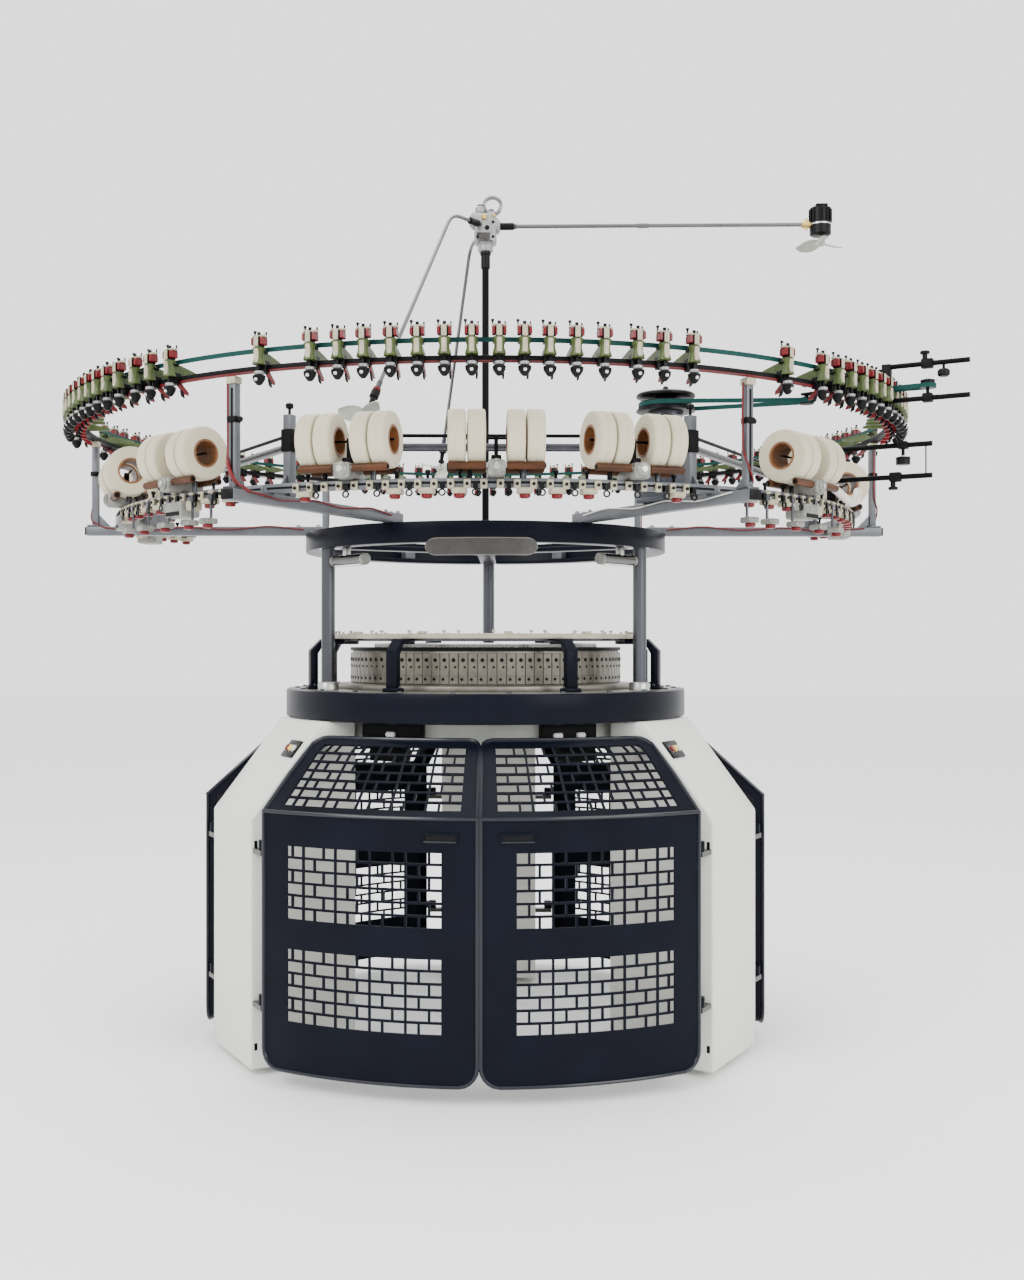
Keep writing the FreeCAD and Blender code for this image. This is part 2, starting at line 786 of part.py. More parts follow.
def door_point(radius, angle, height):
    """Point from the door's arc centre; angle is positive to the right."""
    a = math.radians(angle)
    return Vector(radius * math.sin(a), door_arc_centre - radius * math.cos(a), height)


def along_door(section, angles):
    """Solid with a (radius, height) section, carried along the door in straight lengths."""
    sections = [[door_point(r, a, z) for r, z in section] for a in angles]
    faces = [face_of(sections[0]), face_of(sections[-1])]
    for first, second in zip(sections[:-1], sections[1:]):
        for j in range(len(section)):
            i = (j + 1) % len(section)
            faces.append(face_of([first[j], second[j], second[i], first[i]]))
    return closed_solid(faces)


def wall_section(depth):
    """Door section, face and hood, with a wall of the given depth."""
    return [
        (door_arc, door_bottom),
        (door_arc, door_face_top),
        (hood_arc, hood_top),
        (hood_arc - depth * hood_out, hood_top - depth * hood_up),
        (door_arc - depth, door_face_top - depth * half_bend),
        (door_arc - depth, door_bottom),
    ]


def hood_hole(low, high):
    """Hole section square to the hood, between two distances up its slope."""
    section = []
    for distance, lift in ((low, -2), (low, 2), (high, 2), (high, -2)):
        section.append((door_arc - hood_up * distance + hood_out * lift * door_skin,
                        door_face_top + hood_out * distance + hood_up * lift * door_skin))
    return section


def brick_row(row, start, middle, end):
    """Stations of the bricks in one row: two bricks that meet at the door's bend, or one across it."""
    rib = math.degrees(grille_rib / door_arc)
    quarter = (end - start) * brick_shift
    if row % 2 == 0:
        return [(start, middle - rib / 2), (middle + rib / 2, end)]
    return [(start + quarter, middle, end - quarter)]


def hinge_axis():
    """Foot of the right-hand door's hinge axis."""
    a = math.radians(door_angle)
    return door_point(door_arc - hinge_inset, door_angle, 0) + Vector(math.cos(a), math.sin(a), 0) * hinge_standoff


def door():
    """Right-hand door: skin and side flanges, with its grilles and hinge lugs."""
    middle = (seam_angle + door_angle) / 2
    stations = [seam_angle, middle, door_angle]
    wall = math.degrees(door_skin / door_arc)
    body = fused([
        along_door(wall_section(door_skin), stations),
        along_door(wall_section(door_flange), [seam_angle, seam_angle + wall]),
        along_door(wall_section(door_flange), [door_angle - wall, door_angle]),
    ])
    start = seam_angle + window_margin
    end = door_angle - window_margin
    bricks = []
    windows = ((lower_window_bottom, lower_window_height), (upper_window_bottom, upper_window_height))
    for low, height in windows:
        pitch = (height + grille_rib) / window_rows
        for row in range(window_rows):
            bottom = low + pitch * row
            top = bottom + pitch - grille_rib
            section = [(door_arc - 2 * door_skin, bottom), (door_arc + 2 * door_skin, bottom),
                       (door_arc + 2 * door_skin, top), (door_arc - 2 * door_skin, top)]
            bricks += [along_door(section, angles) for angles in brick_row(row, start, middle, end)]
    run = hood_length * hood_grille_share
    pitch = (run + grille_rib) / hood_rows
    for row in range(hood_rows):
        low = (hood_length - run) / 2 + pitch * row
        section = hood_hole(low, low + pitch - grille_rib)
        bricks += [along_door(section, angles) for angles in brick_row(row, start, middle, end)]
    leg_half = leg_width / 2 + leg_clearance
    beside_leg = block((-leg_half, leg_half), (leg_inner, leg_outer), (door_bottom, bed_bottom))
    body = body.cut(bricks + [turned(beside_leg, leg_angles["right"])])
    a = math.radians(door_angle)
    along = Vector(math.cos(a), math.sin(a), 0)
    inward = Vector(-along.y, along.x, 0)
    half = hinge_block / 2
    for height in (lower_hinge, upper_hinge):
        corner = hinge_axis() - along * hinge_standoff - inward * half + up * height
        reach = along * (hinge_standoff + half)
        lug = face_of([corner, corner + inward * hinge_block, corner + inward * hinge_block + reach, corner + reach])
        hole_radius = (hinge_pin_radius + running_clearance) / math.cos(math.pi / pin_facets)
        hole = prism(pin_facets, hole_radius, hinge_axis() + up * height, up, hinge_block)
        body = body.fuse(lug.extrude(up * hinge_block)).cut(hole)
    return body.removeSplitter()


def hinge_bracket(height):
    """Bracket on the leg under one lug of the right-hand door, with the pin that the lug turns on."""
    axis = hinge_axis()
    side = polar(1, leg_angles["right"] - 90)
    reach = abs(axis.dot(side)) - leg_width / 2
    inward = side * (-1 if axis.dot(side) > 0 else 1)
    half = hinge_block / 2
    across = Vector(inward.y, -inward.x, 0)
    corner = axis - inward * half - across * half + up * (height - seat_gap - half)
    length = inward * (reach + half)
    plate = face_of([corner, corner + across * hinge_block, corner + across * hinge_block + length, corner + length])
    pin = prism(pin_facets, hinge_pin_radius, axis + up * (height - seat_gap), up, hinge_block + seat_gap)
    return plate.extrude(up * half).fuse(pin).removeSplitter()


mirror_side = Vector(1, 0, 0)
right_door = door()
left_door = right_door.mirror(origin, mirror_side)
brackets = [hinge_bracket(height) for height in (lower_hinge, upper_hinge)]
hinges = []
for name, angle in door_pair_angles.items():
    export("door_" + name + "_a", turned(left_door, angle))
    export("door_" + name + "_b", turned(right_door, angle))
    for piece in brackets:
        hinges.append(turned(piece, angle))
        hinges.append(turned(piece.mirror(origin, mirror_side), angle))
export("door_hinges", Part.makeCompound(hinges))
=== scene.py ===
"""Circular knitting machine: the looks of every piece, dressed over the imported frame."""

import math

import bpy
from bpy.props import FloatProperty, FloatVectorProperty, IntProperty, PointerProperty
from bpy.types import Operator, Panel, PropertyGroup
from mathutils import Matrix, Vector


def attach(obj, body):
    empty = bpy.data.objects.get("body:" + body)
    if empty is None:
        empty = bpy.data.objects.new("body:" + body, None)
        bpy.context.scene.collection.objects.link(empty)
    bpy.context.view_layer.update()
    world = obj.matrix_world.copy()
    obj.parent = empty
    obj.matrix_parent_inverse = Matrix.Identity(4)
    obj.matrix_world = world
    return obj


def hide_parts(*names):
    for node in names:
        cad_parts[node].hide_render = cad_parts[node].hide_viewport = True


bl_info = {
    "name": "Circular Knitting Machine",
    "version": (1, 0, 0),
    "blender": (4, 5, 0),
    "location": "View3D > Sidebar > Knitting",
    "description": "Models the finished pieces of a circular knitting machine",
    "category": "Object",
}

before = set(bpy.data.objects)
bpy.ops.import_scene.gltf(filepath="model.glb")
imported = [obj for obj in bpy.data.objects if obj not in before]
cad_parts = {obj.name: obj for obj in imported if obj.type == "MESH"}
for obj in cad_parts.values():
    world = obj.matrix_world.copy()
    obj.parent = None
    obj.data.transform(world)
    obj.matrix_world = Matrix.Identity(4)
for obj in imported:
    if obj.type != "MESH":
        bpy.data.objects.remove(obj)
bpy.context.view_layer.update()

# Metres. Angles are in degrees from the front (-Y), positive towards +X. A circle is a distance from the axis.
RING_TURN = 2.0  # the arms and the feeder ring stand turned by this much
LEG_ANGLES = {"left": -60.0, "right": 60.0, "rear": 180.0}
LEG_WIDTH, LEG_OUTER, LEG_INNER, LEG_SHOULDER = 0.360, 0.905, 0.560, 0.676
LEG_WALL_TOP, FOOT_HEIGHT = 0.775, 0.020
BUTTON_STEP = 0.026
PANEL_SHIFT = {"left": 0.111, "right": -0.111}  # from the middle of the leg
BED_BOTTOM, BED_TOP = 1.063, 1.155
BED_IN, BED_OUT = 0.480, 0.677
COLUMN_CIRCLE, COLUMN_RADIUS = 0.580, 0.022
CROWN_BOTTOM, CROWN_TOP = 1.611, 1.674
CROWN_IN, CROWN_OUT = 0.545, 0.612
LAMP_CIRCLE, LAMP_ANGLE = 0.566, 50
ARM_ANGLES = {"front_left": -30, "front_right": 30, "left": -90, "right": 90,
              "rear_left": -150, "rear_right": 150}
ARM_TOP = 1.704
STAND_CIRCLE = 1.100  # stands of the guard rails on the arms
RAIL_TOP, RAIL_CIRCLE, RAIL_HALF = 1.728, 1.200, 0.013
RAIL_ENDS = {"front": (-28, 32), "left": (-112, -28), "right": (32, 104)}
UNIT_SETS = {"front": [-16, 2.5, 20], "left": [-44.5, -68, -96], "right": [50.5, 88]}
LOW_SENSORS = [-58, -52, -46, -40.5, -36.7, 36.7, 40.5, 46, 52, 58]
RING_BOTTOM, RING_TOP = 1.995, 2.017
RING_IN, RING_OUT = 1.3245, 1.3495
FEEDER_CIRCLE = 1.372
FEEDER_ANGLES = [-25.5, -19.4, -16.3, -13.5, -10.6, -7.8, -5.0, -2.2,
                 0.6, 3.2, 5.8, 8.6, 11.6, 15.2, 18.2, 21.7]
SECTORS = ["front", "front_right", "rear_right", "rear", "rear_left", "front_left"]
DRIVE_ANGLE, DRIVE_CIRCLE = 33.0, 0.970
FAR_WHEEL = (1.268, 46.0)  # circle and angle of the drive belt's far end
TENSION_ANGLE, TENSION_CIRCLE = 61.2, 1.480
MAST_RADIUS, MAST_TOP = 0.012, 2.6475
HEAD_BOTTOM, BLOWER_LEVEL = 2.6483, 2.737
BENT_ARMS = {"front": -30, "rear": 196}
DOOR_PAIRS = {"front": 0, "right": 120, "left": 240}
DOOR_ARC, DOOR_CENTRE, DOOR_EDGE, DOOR_SEAM = 1.180, 0.310, 32.85, 0.243
DOOR_BOTTOM, DOOR_FACE_TOP, HOOD_RUN, HOOD_RISE = 0.058, 0.811, 0.228, 0.206
HOOD_LENGTH = math.hypot(HOOD_RUN, HOOD_RISE)
KNEE = DOOR_FACE_TOP - DOOR_BOTTOM  # where the hood begins, along the door from its bottom up
DOOR_LENGTH = KNEE + HOOD_LENGTH
FOLD_DEPTH = 0.030  # folded edges of a door

UP = (0, 0, 1)
THIRDS = (0, 120, 240)
SMOOTH_ANGLE = math.radians(35)  # faces that meet at less than this are shaded as one round
ROUND_LIMIT = math.radians(40)  # edges flatter than this belong to a round side and get no bevel


# ---- Sizes and colours that a user may change ----
class MachineSizes(PropertyGroup):
    """Sizes of the machine's details."""
    ring_steps: IntProperty(name="Ring steps", description="Flat steps in a large ring",
                            default=144, min=48, max=360)
    grille_rib: FloatProperty(name="Grille rib", description="Width of a bar in the doors' grille",
                              default=0.007, min=0.003, max=0.015, unit="LENGTH")
    door_skin: FloatProperty(name="Door skin", description="Thickness of the door's shell",
                             default=0.006, min=0.002, max=0.012, unit="LENGTH")
    cam_count: IntProperty(name="Cam blocks", description="Cam blocks round the drum",
                           default=96, min=24, max=144)
    wire_radius: FloatProperty(name="Wire radius", description="Radius of one sensor wire",
                               default=0.0026, min=0.001, max=0.006, unit="LENGTH")


class MachineColours(PropertyGroup):
    """Colours of the machine's finishes."""
    navy: FloatVectorProperty(name="Navy", description="Doors, bed and crown", subtype="COLOR",
                              default=(0.0034, 0.0042, 0.0085), min=0.0, max=1.0)
    cream: FloatVectorProperty(name="Cream", description="Legs", subtype="COLOR",
                               default=(0.62, 0.62, 0.575), min=0.0, max=1.0)
    grey: FloatVectorProperty(name="Grey", description="Arms and rails", subtype="COLOR",
                              default=(0.095, 0.100, 0.110), min=0.0, max=1.0)
    yarn: FloatVectorProperty(name="Yarn", description="Yarn on the bobbins", subtype="COLOR",
                              default=(0.62, 0.55, 0.385), min=0.0, max=1.0)
    belt: FloatVectorProperty(name="Belt", description="Feeder belt", subtype="COLOR",
                              default=(0.0012, 0.036, 0.031), min=0.0, max=1.0)
    red: FloatVectorProperty(name="Red", description="Clips, discs and wires", subtype="COLOR",
                             default=(0.115, 0.0018, 0.0040), min=0.0, max=1.0)
    green: FloatVectorProperty(name="Green", description="Yarn wheels", subtype="COLOR",
                               default=(0.043, 0.063, 0.014), min=0.0, max=1.0)


# ---- Finishes ----
GLOSS_SPREAD = 0.12
GRAIN_DEPTH = 0.0004
finishes = {}


def wire(material, node, inputs):
    """Sets a node's inputs: a socket of another node is linked, and anything else is a value."""
    for key, value in inputs.items():
        if isinstance(value, bpy.types.NodeSocket):
            material.node_tree.links.new(value, node.inputs[key])
        else:
            node.inputs[key].default_value = value


def add_node(material, kind, inputs, **settings):
    node = material.node_tree.nodes.new(kind)
    for key, value in settings.items():
        setattr(node, key, value)
    wire(material, node, inputs)
    return node


def add_relief(material, height, strength, depth):
    """Adds a second bump over the grain that a finish has."""
    shader = material.node_tree.nodes["Principled BSDF"]
    relief = add_node(material, "ShaderNodeBump", {
        "Strength": strength, "Distance": depth, "Height": height,
        "Normal": shader.inputs["Normal"].links[0].from_socket})
    wire(material, shader, {"Normal": relief.outputs["Normal"]})


def finish_of(name, colour, roughness, metallic=0.0, vary=0.12, scale=18.0, bump=0.15, grain=900.0,
              coat=0.0, stretch=(1, 1, 1), specular=0.5):
    """Finish with patchy colour, patchy gloss and a fine grain in its surface."""
    if name in finishes:
        return finishes[name]
    material = bpy.data.materials.new(name)
    material.use_nodes = True
    place = add_node(material, "ShaderNodeTexCoord", {})
    mapping = add_node(material, "ShaderNodeMapping", {"Scale": stretch, "Vector": place.outputs["Object"]})
    patches = add_node(material, "ShaderNodeTexNoise", {
        "Scale": scale, "Detail": 4.0, "Vector": mapping.outputs["Vector"]})
    tone = add_node(material, "ShaderNodeValToRGB", {"Fac": patches.outputs["Fac"]})
    for stop, position, sign in zip(tone.color_ramp.elements, (0.3, 0.7), (-1, 1)):
        stop.position = position
        stop.color = [min(1, c * (1 + sign * vary)) for c in colour] + [1]
    gloss = add_node(material, "ShaderNodeMapRange", {
        "Value": patches.outputs["Fac"],
        "To Min": max(0.02, roughness - GLOSS_SPREAD / 2), "To Max": min(1.0, roughness + GLOSS_SPREAD / 2)})
    texture = add_node(material, "ShaderNodeTexNoise", {
        "Scale": grain, "Detail": 2.0, "Vector": mapping.outputs["Vector"]})
    relief = add_node(material, "ShaderNodeBump", {
        "Strength": bump, "Distance": GRAIN_DEPTH, "Height": texture.outputs["Fac"]})
    wire(material, material.node_tree.nodes["Principled BSDF"], {
        "Metallic": metallic, "Specular IOR Level": specular, "Coat Weight": coat, "Coat Roughness": 0.12,
        "Base Color": tone.outputs["Color"], "Roughness": gloss.outputs["Result"],
        "Normal": relief.outputs["Normal"]})
    finishes[name] = material
    return material


def angle_stripes(material, count, depth, shade):
    """Adds upright grooves round the machine's axis to a finish: bump, and a darker colour in the grooves as
    painted shade.
    """
    shader = material.node_tree.nodes["Principled BSDF"]
    place = next(n for n in material.node_tree.nodes if n.bl_idname == "ShaderNodeTexCoord")
    parts = add_node(material, "ShaderNodeSeparateXYZ", {"Vector": place.outputs["Object"]})
    turn = add_node(material, "ShaderNodeMath", {0: parts.outputs["Y"], 1: parts.outputs["X"]},
                    operation="ARCTAN2")
    times = add_node(material, "ShaderNodeMath", {0: turn.outputs[0], 1: count}, operation="MULTIPLY")
    wave = add_node(material, "ShaderNodeMath", {0: times.outputs[0]}, operation="SINE")
    groove = add_node(material, "ShaderNodeMapRange", {
        "Value": wave.outputs[0], "From Min": -1.0, "From Max": -0.4})
    mix = add_node(material, "ShaderNodeMix", {
        "Factor": groove.outputs["Result"], "A": (*shade, 1),
        "B": shader.inputs["Base Color"].links[0].from_socket}, data_type="RGBA")
    wire(material, shader, {"Base Color": mix.outputs["Result"]})
    add_relief(material, groove.outputs["Result"], 1.0, depth)


def wound_yarn(material):
    """Adds the fine lines of wound yarn, which run round each bobbin, from the piece's own UV map."""
    shader = material.node_tree.nodes["Principled BSDF"]
    own = add_node(material, "ShaderNodeUVMap", {}, uv_map="winding")
    lines = add_node(material, "ShaderNodeTexWave", {
        "Scale": 22.0, "Distortion": 1.2, "Detail": 2.0, "Vector": own.outputs["UV"]}, bands_direction="Y")
    shade = add_node(material, "ShaderNodeMapRange", {"To Min": 0.72, "Value": lines.outputs["Fac"]})
    mix = add_node(material, "ShaderNodeMix", {
        "Factor": 1.0, "A": shader.inputs["Base Color"].links[0].from_socket, "B": shade.outputs["Result"]},
        data_type="RGBA", blend_type="MULTIPLY")
    wire(material, shader, {"Base Color": mix.outputs["Result"], "Sheen Weight": 0.25})
    add_relief(material, lines.outputs["Fac"], 0.5, 0.0010)


def make_finishes(colours):
    drawn = (1, 1, 0.05)  # patches drawn out along upright steel
    finish_of("navy_paint", colours.navy, 0.30, vary=0.18, scale=6, bump=0.06, grain=260, specular=0.06)
    # navy made 1.3 times lighter as a painted highlight, and glossier, for the doors' beads, ridges and grip
    # lips
    finish_of("navy_highlight_paint", [c * 1.3 for c in colours.navy], 0.22, vary=0.15, scale=12, bump=0.05,
              specular=0.35)
    finish_of("cream_paint", colours.cream, 0.42, coat=0.15, vary=0.03, scale=3, bump=0.10, grain=300)
    finish_of("grey_paint", colours.grey, 0.38, metallic=0.35, vary=0.12, scale=14, bump=0.12)
    finish_of("dark_steel", (0.068, 0.071, 0.080), 0.28, metallic=0.85, vary=0.2, scale=30, stretch=drawn)
    finish_of("rail_steel", (0.055, 0.057, 0.066), 0.26, metallic=0.9, vary=0.2, scale=30, stretch=drawn)
    finish_of("bright_steel", (0.42, 0.42, 0.41), 0.30, metallic=1.0, vary=0.08, scale=14, bump=0.03)
    finish_of("tube_steel", (0.145, 0.145, 0.142), 0.24, metallic=1.0, vary=0.08, scale=14, bump=0.02)
    finish_of("deck_steel", (0.15, 0.142, 0.125), 0.40, metallic=0.6, vary=0.16, scale=22)
    finish_of("cam_steel", (0.185, 0.172, 0.146), 0.36, metallic=0.65, vary=0.18, scale=35)
    finish_of("cam_block_steel", (0.135, 0.123, 0.098), 0.34, metallic=0.6, vary=0.2, scale=50)
    # the needles' grooves are darkened to 0.08 grey as painted shade
    angle_stripes(finish_of("needle_steel", (0.34, 0.33, 0.31), 0.28, metallic=0.9, scale=60), 540, 0.0006,
                  (0.08, 0.08, 0.08))
    finish_of("guide_cream", (0.355, 0.33, 0.245), 0.42, vary=0.14, scale=20, bump=0.2)
    finish_of("black_iron", (0.0022, 0.0022, 0.0027), 0.5, vary=0.3, scale=25, bump=0.4, grain=500,
              specular=0.10)
    finish_of("black_plastic", (0.0020, 0.0020, 0.0025), 0.36, vary=0.3, scale=30, bump=0.25, specular=0.13)
    finish_of("black_rod", (0.0014, 0.0014, 0.0018), 0.36, vary=0.2, scale=25, stretch=(1, 1, 0.1),
              specular=0.06)
    finish_of("red_plastic", colours.red, 0.34, vary=0.12, scale=40, bump=0.15, specular=0.3)
    finish_of("red_wire", [c * 0.9 for c in colours.red], 0.45, vary=0.2, scale=60, specular=0.3)
    finish_of("green_plastic", colours.green, 0.40, vary=0.25, scale=60, bump=0.2, specular=0.3)
    finish_of("beige_plastic", (0.33, 0.295, 0.205), 0.42, vary=0.18, scale=60, bump=0.2)
    finish_of("white_plastic", (0.55, 0.54, 0.50), 0.38, vary=0.05, scale=40, bump=0.15)
    finish_of("yellow_plastic", (0.75, 0.45, 0.03), 0.35, vary=0.1, scale=40)
    finish_of("belt_rubber", colours.belt, 0.55, vary=0.15, scale=60, bump=0.5, grain=1500, specular=0.15)
    finish_of("drive_grey", (0.032, 0.038, 0.050), 0.40, metallic=0.2, vary=0.15, scale=16, bump=0.2)
    finish_of("blower_grey", (0.24, 0.245, 0.24), 0.38, metallic=0.4, vary=0.25, scale=25, bump=0.4)
    finish_of("cast_grey", (0.19, 0.19, 0.172), 0.42, metallic=0.3, vary=0.35, scale=45, bump=0.4, grain=350)
    finish_of("plate_grey", (0.055, 0.053, 0.050), 0.32, metallic=0.6, vary=0.15, scale=30, bump=0.2)
    finish_of("pale_casting", (0.46, 0.475, 0.43), 0.45, metallic=0.1, vary=0.12, scale=10, bump=0.3,
              grain=250)
    finish_of("fan_plastic", (0.30, 0.315, 0.265), 0.30, vary=0.06, scale=12, bump=0.1)
    finish_of("brass", (0.55, 0.38, 0.12), 0.30, metallic=1.0, vary=0.12, scale=30)
    finish_of("lamp_white", (0.78, 0.78, 0.75), 0.30, vary=0.03, scale=12, bump=0.05)
    finish_of("core_brown", (0.16, 0.062, 0.020), 0.42, vary=0.35, scale=35, bump=0.5, grain=300)
    finish_of("roller_brown", (0.052, 0.0165, 0.0042), 0.45, vary=0.45, scale=40, stretch=(0.25, 0.25, 1),
              bump=0.6, grain=200, specular=0.2)
    wound_yarn(finish_of("wound_yarn", colours.yarn, 0.78, vary=0.05, scale=9, bump=0.3, grain=700))


# ---- Places ----
def turn_about_z(angle):
    return Matrix.Rotation(math.radians(angle), 4, "Z")


def spot(circle, angle, height=0.0):
    """Point at a distance from the axis and an angle from the front."""
    a = math.radians(angle)
    return Vector((circle * math.sin(a), -circle * math.cos(a), height))


def around(angle):
    """Angle of a place on the turned ring."""
    return angle + RING_TURN


# ---- Modelling helpers ----
def start():
    if bpy.context.mode != "OBJECT":
        bpy.ops.object.mode_set(mode="OBJECT")
    bpy.context.tool_settings.mesh_select_mode = (True, False, False)
    bpy.ops.object.select_all(action="DESELECT")


def pick(*pieces):
    start()
    for piece in pieces:
        piece.select_set(True)
    bpy.context.view_layer.objects.active = pieces[0]


def settle(material):
    """Puts the new piece's place into its mesh and gives it its finish."""
    piece = bpy.context.object
    bpy.ops.object.transform_apply(location=True, rotation=True, scale=True)
    piece.data.materials.clear()
    piece.data.materials.append(finishes[material])
    return piece


def edit_all():
    """Enters edit mode with everything selected."""
    bpy.ops.object.mode_set(mode="EDIT")
    bpy.ops.mesh.select_all(action="SELECT")


def end_edit():
    """Turns every face outwards and leaves edit mode."""
    bpy.ops.mesh.select_all(action="SELECT")
    bpy.ops.mesh.normals_make_consistent(inside=False)
    bpy.ops.object.mode_set(mode="OBJECT")


def moved(piece, matrix):
    piece.data.transform(matrix)
    if matrix.determinant() < 0:
        piece.data.flip_normals()
    piece.data.update()
    return piece


def copied(piece, matrix):
    """Copy of a piece with a mesh of its own."""
    twin = piece.copy()
    twin.data = piece.data.copy()
    bpy.context.collection.objects.link(twin)
    return moved(twin, matrix)


def spread(piece, matrices, keep=False):
    """Copies of a piece at several places. The piece itself is removed unless it is kept."""
    copies = [copied(piece, matrix) for matrix in matrices]
    if not keep:
        bpy.data.objects.remove(piece)
    return copies


def joined(pieces, name):
    pick(*pieces)
    if len(pieces) > 1:
        bpy.ops.object.join()
    piece = bpy.context.object
    piece.name = name
    piece.data.name = name
    return piece


def modified(piece, kind, **settings):
    pick(piece)
    modifier = piece.modifiers.new("shape", kind)
    for key, value in settings.items():
        setattr(modifier, key, value)
    bpy.ops.object.modifier_apply(modifier=modifier.name)
    return piece


def rounded(piece, bevel, steps=2, **limits):
    """Bevels a piece's edges, where a bevel is given."""
    if bevel:
        modified(piece, "BEVEL", width=bevel, segments=steps, limit_method="ANGLE", **limits)
    return piece


def drilled(piece, cutter):
    """Cuts a hole with another piece, which is then removed."""
    modified(piece, "BOOLEAN", object=cutter, operation="DIFFERENCE", solver="EXACT")
    bpy.data.objects.remove(cutter)


def box(material, low, high, bevel=0.0, steps=2):
    """Block between two corners, with its edges rounded."""
    start()
    middle = [(a + b) / 2 for a, b in zip(low, high)]
    size = [b - a for a, b in zip(low, high)]
    bpy.ops.mesh.primitive_cube_add(size=1, location=middle, scale=size)
    return rounded(settle(material), bevel, steps)


def front_block(material, across, circles, heights, bevel=0.0, steps=2):
    """Block at the front of the machine: across, along the radius and up."""
    return box(material, (across[0], -circles[1], heights[0]), (across[1], -circles[0], heights[1]),
               bevel, steps)


def drawn_circle(material, profile, steps, fill):
    """Circle about Z that is drawn through (radius, height) points. It is left in edit mode."""
    start()
    radius, height = profile[0]
    bpy.ops.mesh.primitive_circle_add(vertices=steps, radius=radius, fill_type=fill, location=(0, 0, height))
    piece = settle(material)
    edit_all()
    for r, z in profile[1:]:
        bpy.ops.mesh.extrude_region_move()
        bpy.ops.transform.resize(value=(r / radius, r / radius, 1), center_override=(0, 0, z))
        bpy.ops.transform.translate(value=(0, 0, z - height))
        radius, height = r, z
    return piece


def turned_solid(material, profile, steps=24):
    """Solid of revolution about Z from its lowest disc up: profile is (radius, height) points."""
    piece = drawn_circle(material, profile, steps, "NGON")
    end_edit()
    return piece


def turned_hoop(material, section, steps, bevel=0.0):
    """Closed ring about Z with a (radius, height) section."""
    piece = drawn_circle(material, section + section[:1], steps, "NOTHING")
    bpy.ops.mesh.select_all(action="SELECT")
    bpy.ops.mesh.remove_doubles(threshold=0.00002)
    end_edit()
    return rounded(piece, bevel, angle_limit=ROUND_LIMIT)


def square_hoop(material, circles, heights, steps, bevel=0.0):
    """Closed ring about Z with a square section between two circles and two heights."""
    (near, far), (low, high) = circles, heights
    return turned_hoop(material, [(near, low), (far, low), (far, high), (near, high)], steps, bevel)


def aimed(piece, base, direction):
    """Stands a piece that was made up Z at the origin on a point, along a direction."""
    turn = Vector(direction).to_track_quat("Z", "Y").to_matrix().to_4x4()
    return moved(piece, Matrix.Translation(base) @ turn)


def rod(material, first, last, radius, steps=16, end=0.0):
    """Round bar between two points, its ends chamfered."""
    first, last = Vector(first), Vector(last)
    length = (last - first).length
    profile = [(radius, 0), (radius, length)]
    if end:
        profile = [(radius - end, 0), (radius, end), (radius, length - end), (radius - end, length)]
    return aimed(turned_solid(material, profile, steps), first, last - first)


def upright_rod(material, x, circle, heights, *shape):
    """Upright bar at the front of the machine; its shape is a radius, steps and a chamfer, as in rod."""
    return rod(material, (x, -circle, heights[0]), (x, -circle, heights[1]), *shape)


def radial_rod(material, x, circles, height, *shape):
    """Level bar at the front of the machine that points away from its axis."""
    return rod(material, (x, -circles[0], height), (x, -circles[1], height), *shape)


def cross_rod(material, ends, circle, height, *shape):
    """Level bar across the front of the machine."""
    return rod(material, (ends[0], -circle, height), (ends[1], -circle, height), *shape)


def curve_piece(material, points, closed, **settings):
    """Mesh of a curve through points, given body by the curve's settings."""
    curve = bpy.data.curves.new("curve", "CURVE")
    curve.dimensions = "3D"
    for key, value in settings.items():
        setattr(curve, key, value)
    line = curve.splines.new("POLY")
    line.points.add(len(points) - 1)
    for point, place in zip(line.points, points):
        point.co = (*place, 1)
    line.use_cyclic_u = closed
    piece = bpy.data.objects.new("curve", curve)
    bpy.context.collection.objects.link(piece)
    pick(piece)
    bpy.ops.object.convert(target="MESH")
    return settle(material)


def tube(material, points, radius, steps, closed=False):
    """Tube through points: a loop, or one with closed ends."""
    return curve_piece(material, points, closed, bevel_depth=radius, bevel_resolution=max(0, steps // 4 - 1),
                       use_fill_caps=not closed)


def bent_tube(material, points, radius, fillet=0.0, steps=12):
    """Tube along straight runs with rounded corners."""
    corner_steps = 6
    path = [Vector(points[0])]
    for before, here, after in zip(points[:-2], points[1:-1], points[2:]):
        before, here, after = Vector(before), Vector(here), Vector(after)
        back = (before - here).normalized() * fillet
        on = (after - here).normalized() * fillet
        for k in range(corner_steps + 1):
            t = k / corner_steps
            path.append(here + back * (1 - t) ** 2 + on * t ** 2)
    path.append(Vector(points[-1]))
    return tube(material, path, radius, steps)


def strap(points, height, thickness):
    """Flat rubber belt on edge along a closed path."""
    piece = curve_piece("belt_rubber", points, True, extrude=height / 2)
    return modified(piece, "SOLIDIFY", thickness=thickness, offset=0.0)


def outline_plate(material, outline, depth, bevel=0.0, steps=2):
    """Plate whose outline lies in the plane of X and Z, drawn out along Y from zero to depth."""
    start()
    bpy.ops.mesh.primitive_circle_add(vertices=len(outline), radius=1, fill_type="NGON",
                                      rotation=(math.pi / 2, 0, 0))
    piece = settle(material)
    for vertex, (x, z) in zip(piece.data.vertices, outline):
        vertex.co = (x, 0, z)
    edit_all()
    bpy.ops.mesh.extrude_region_move()
    bpy.ops.transform.translate(value=(0, depth, 0))
    end_edit()
    return rounded(piece, bevel, steps)


def radial_plate(material, outline, width, bevel=0.0, steps=2):
    """Plate with a (radius, height) outline, centred on the front plane."""
    piece = outline_plate(material, outline, width, bevel, steps)
    moved(piece, Matrix.Translation((0, -width / 2, 0)))
    return moved(piece, Matrix.Rotation(-math.pi / 2, 4, "Z"))


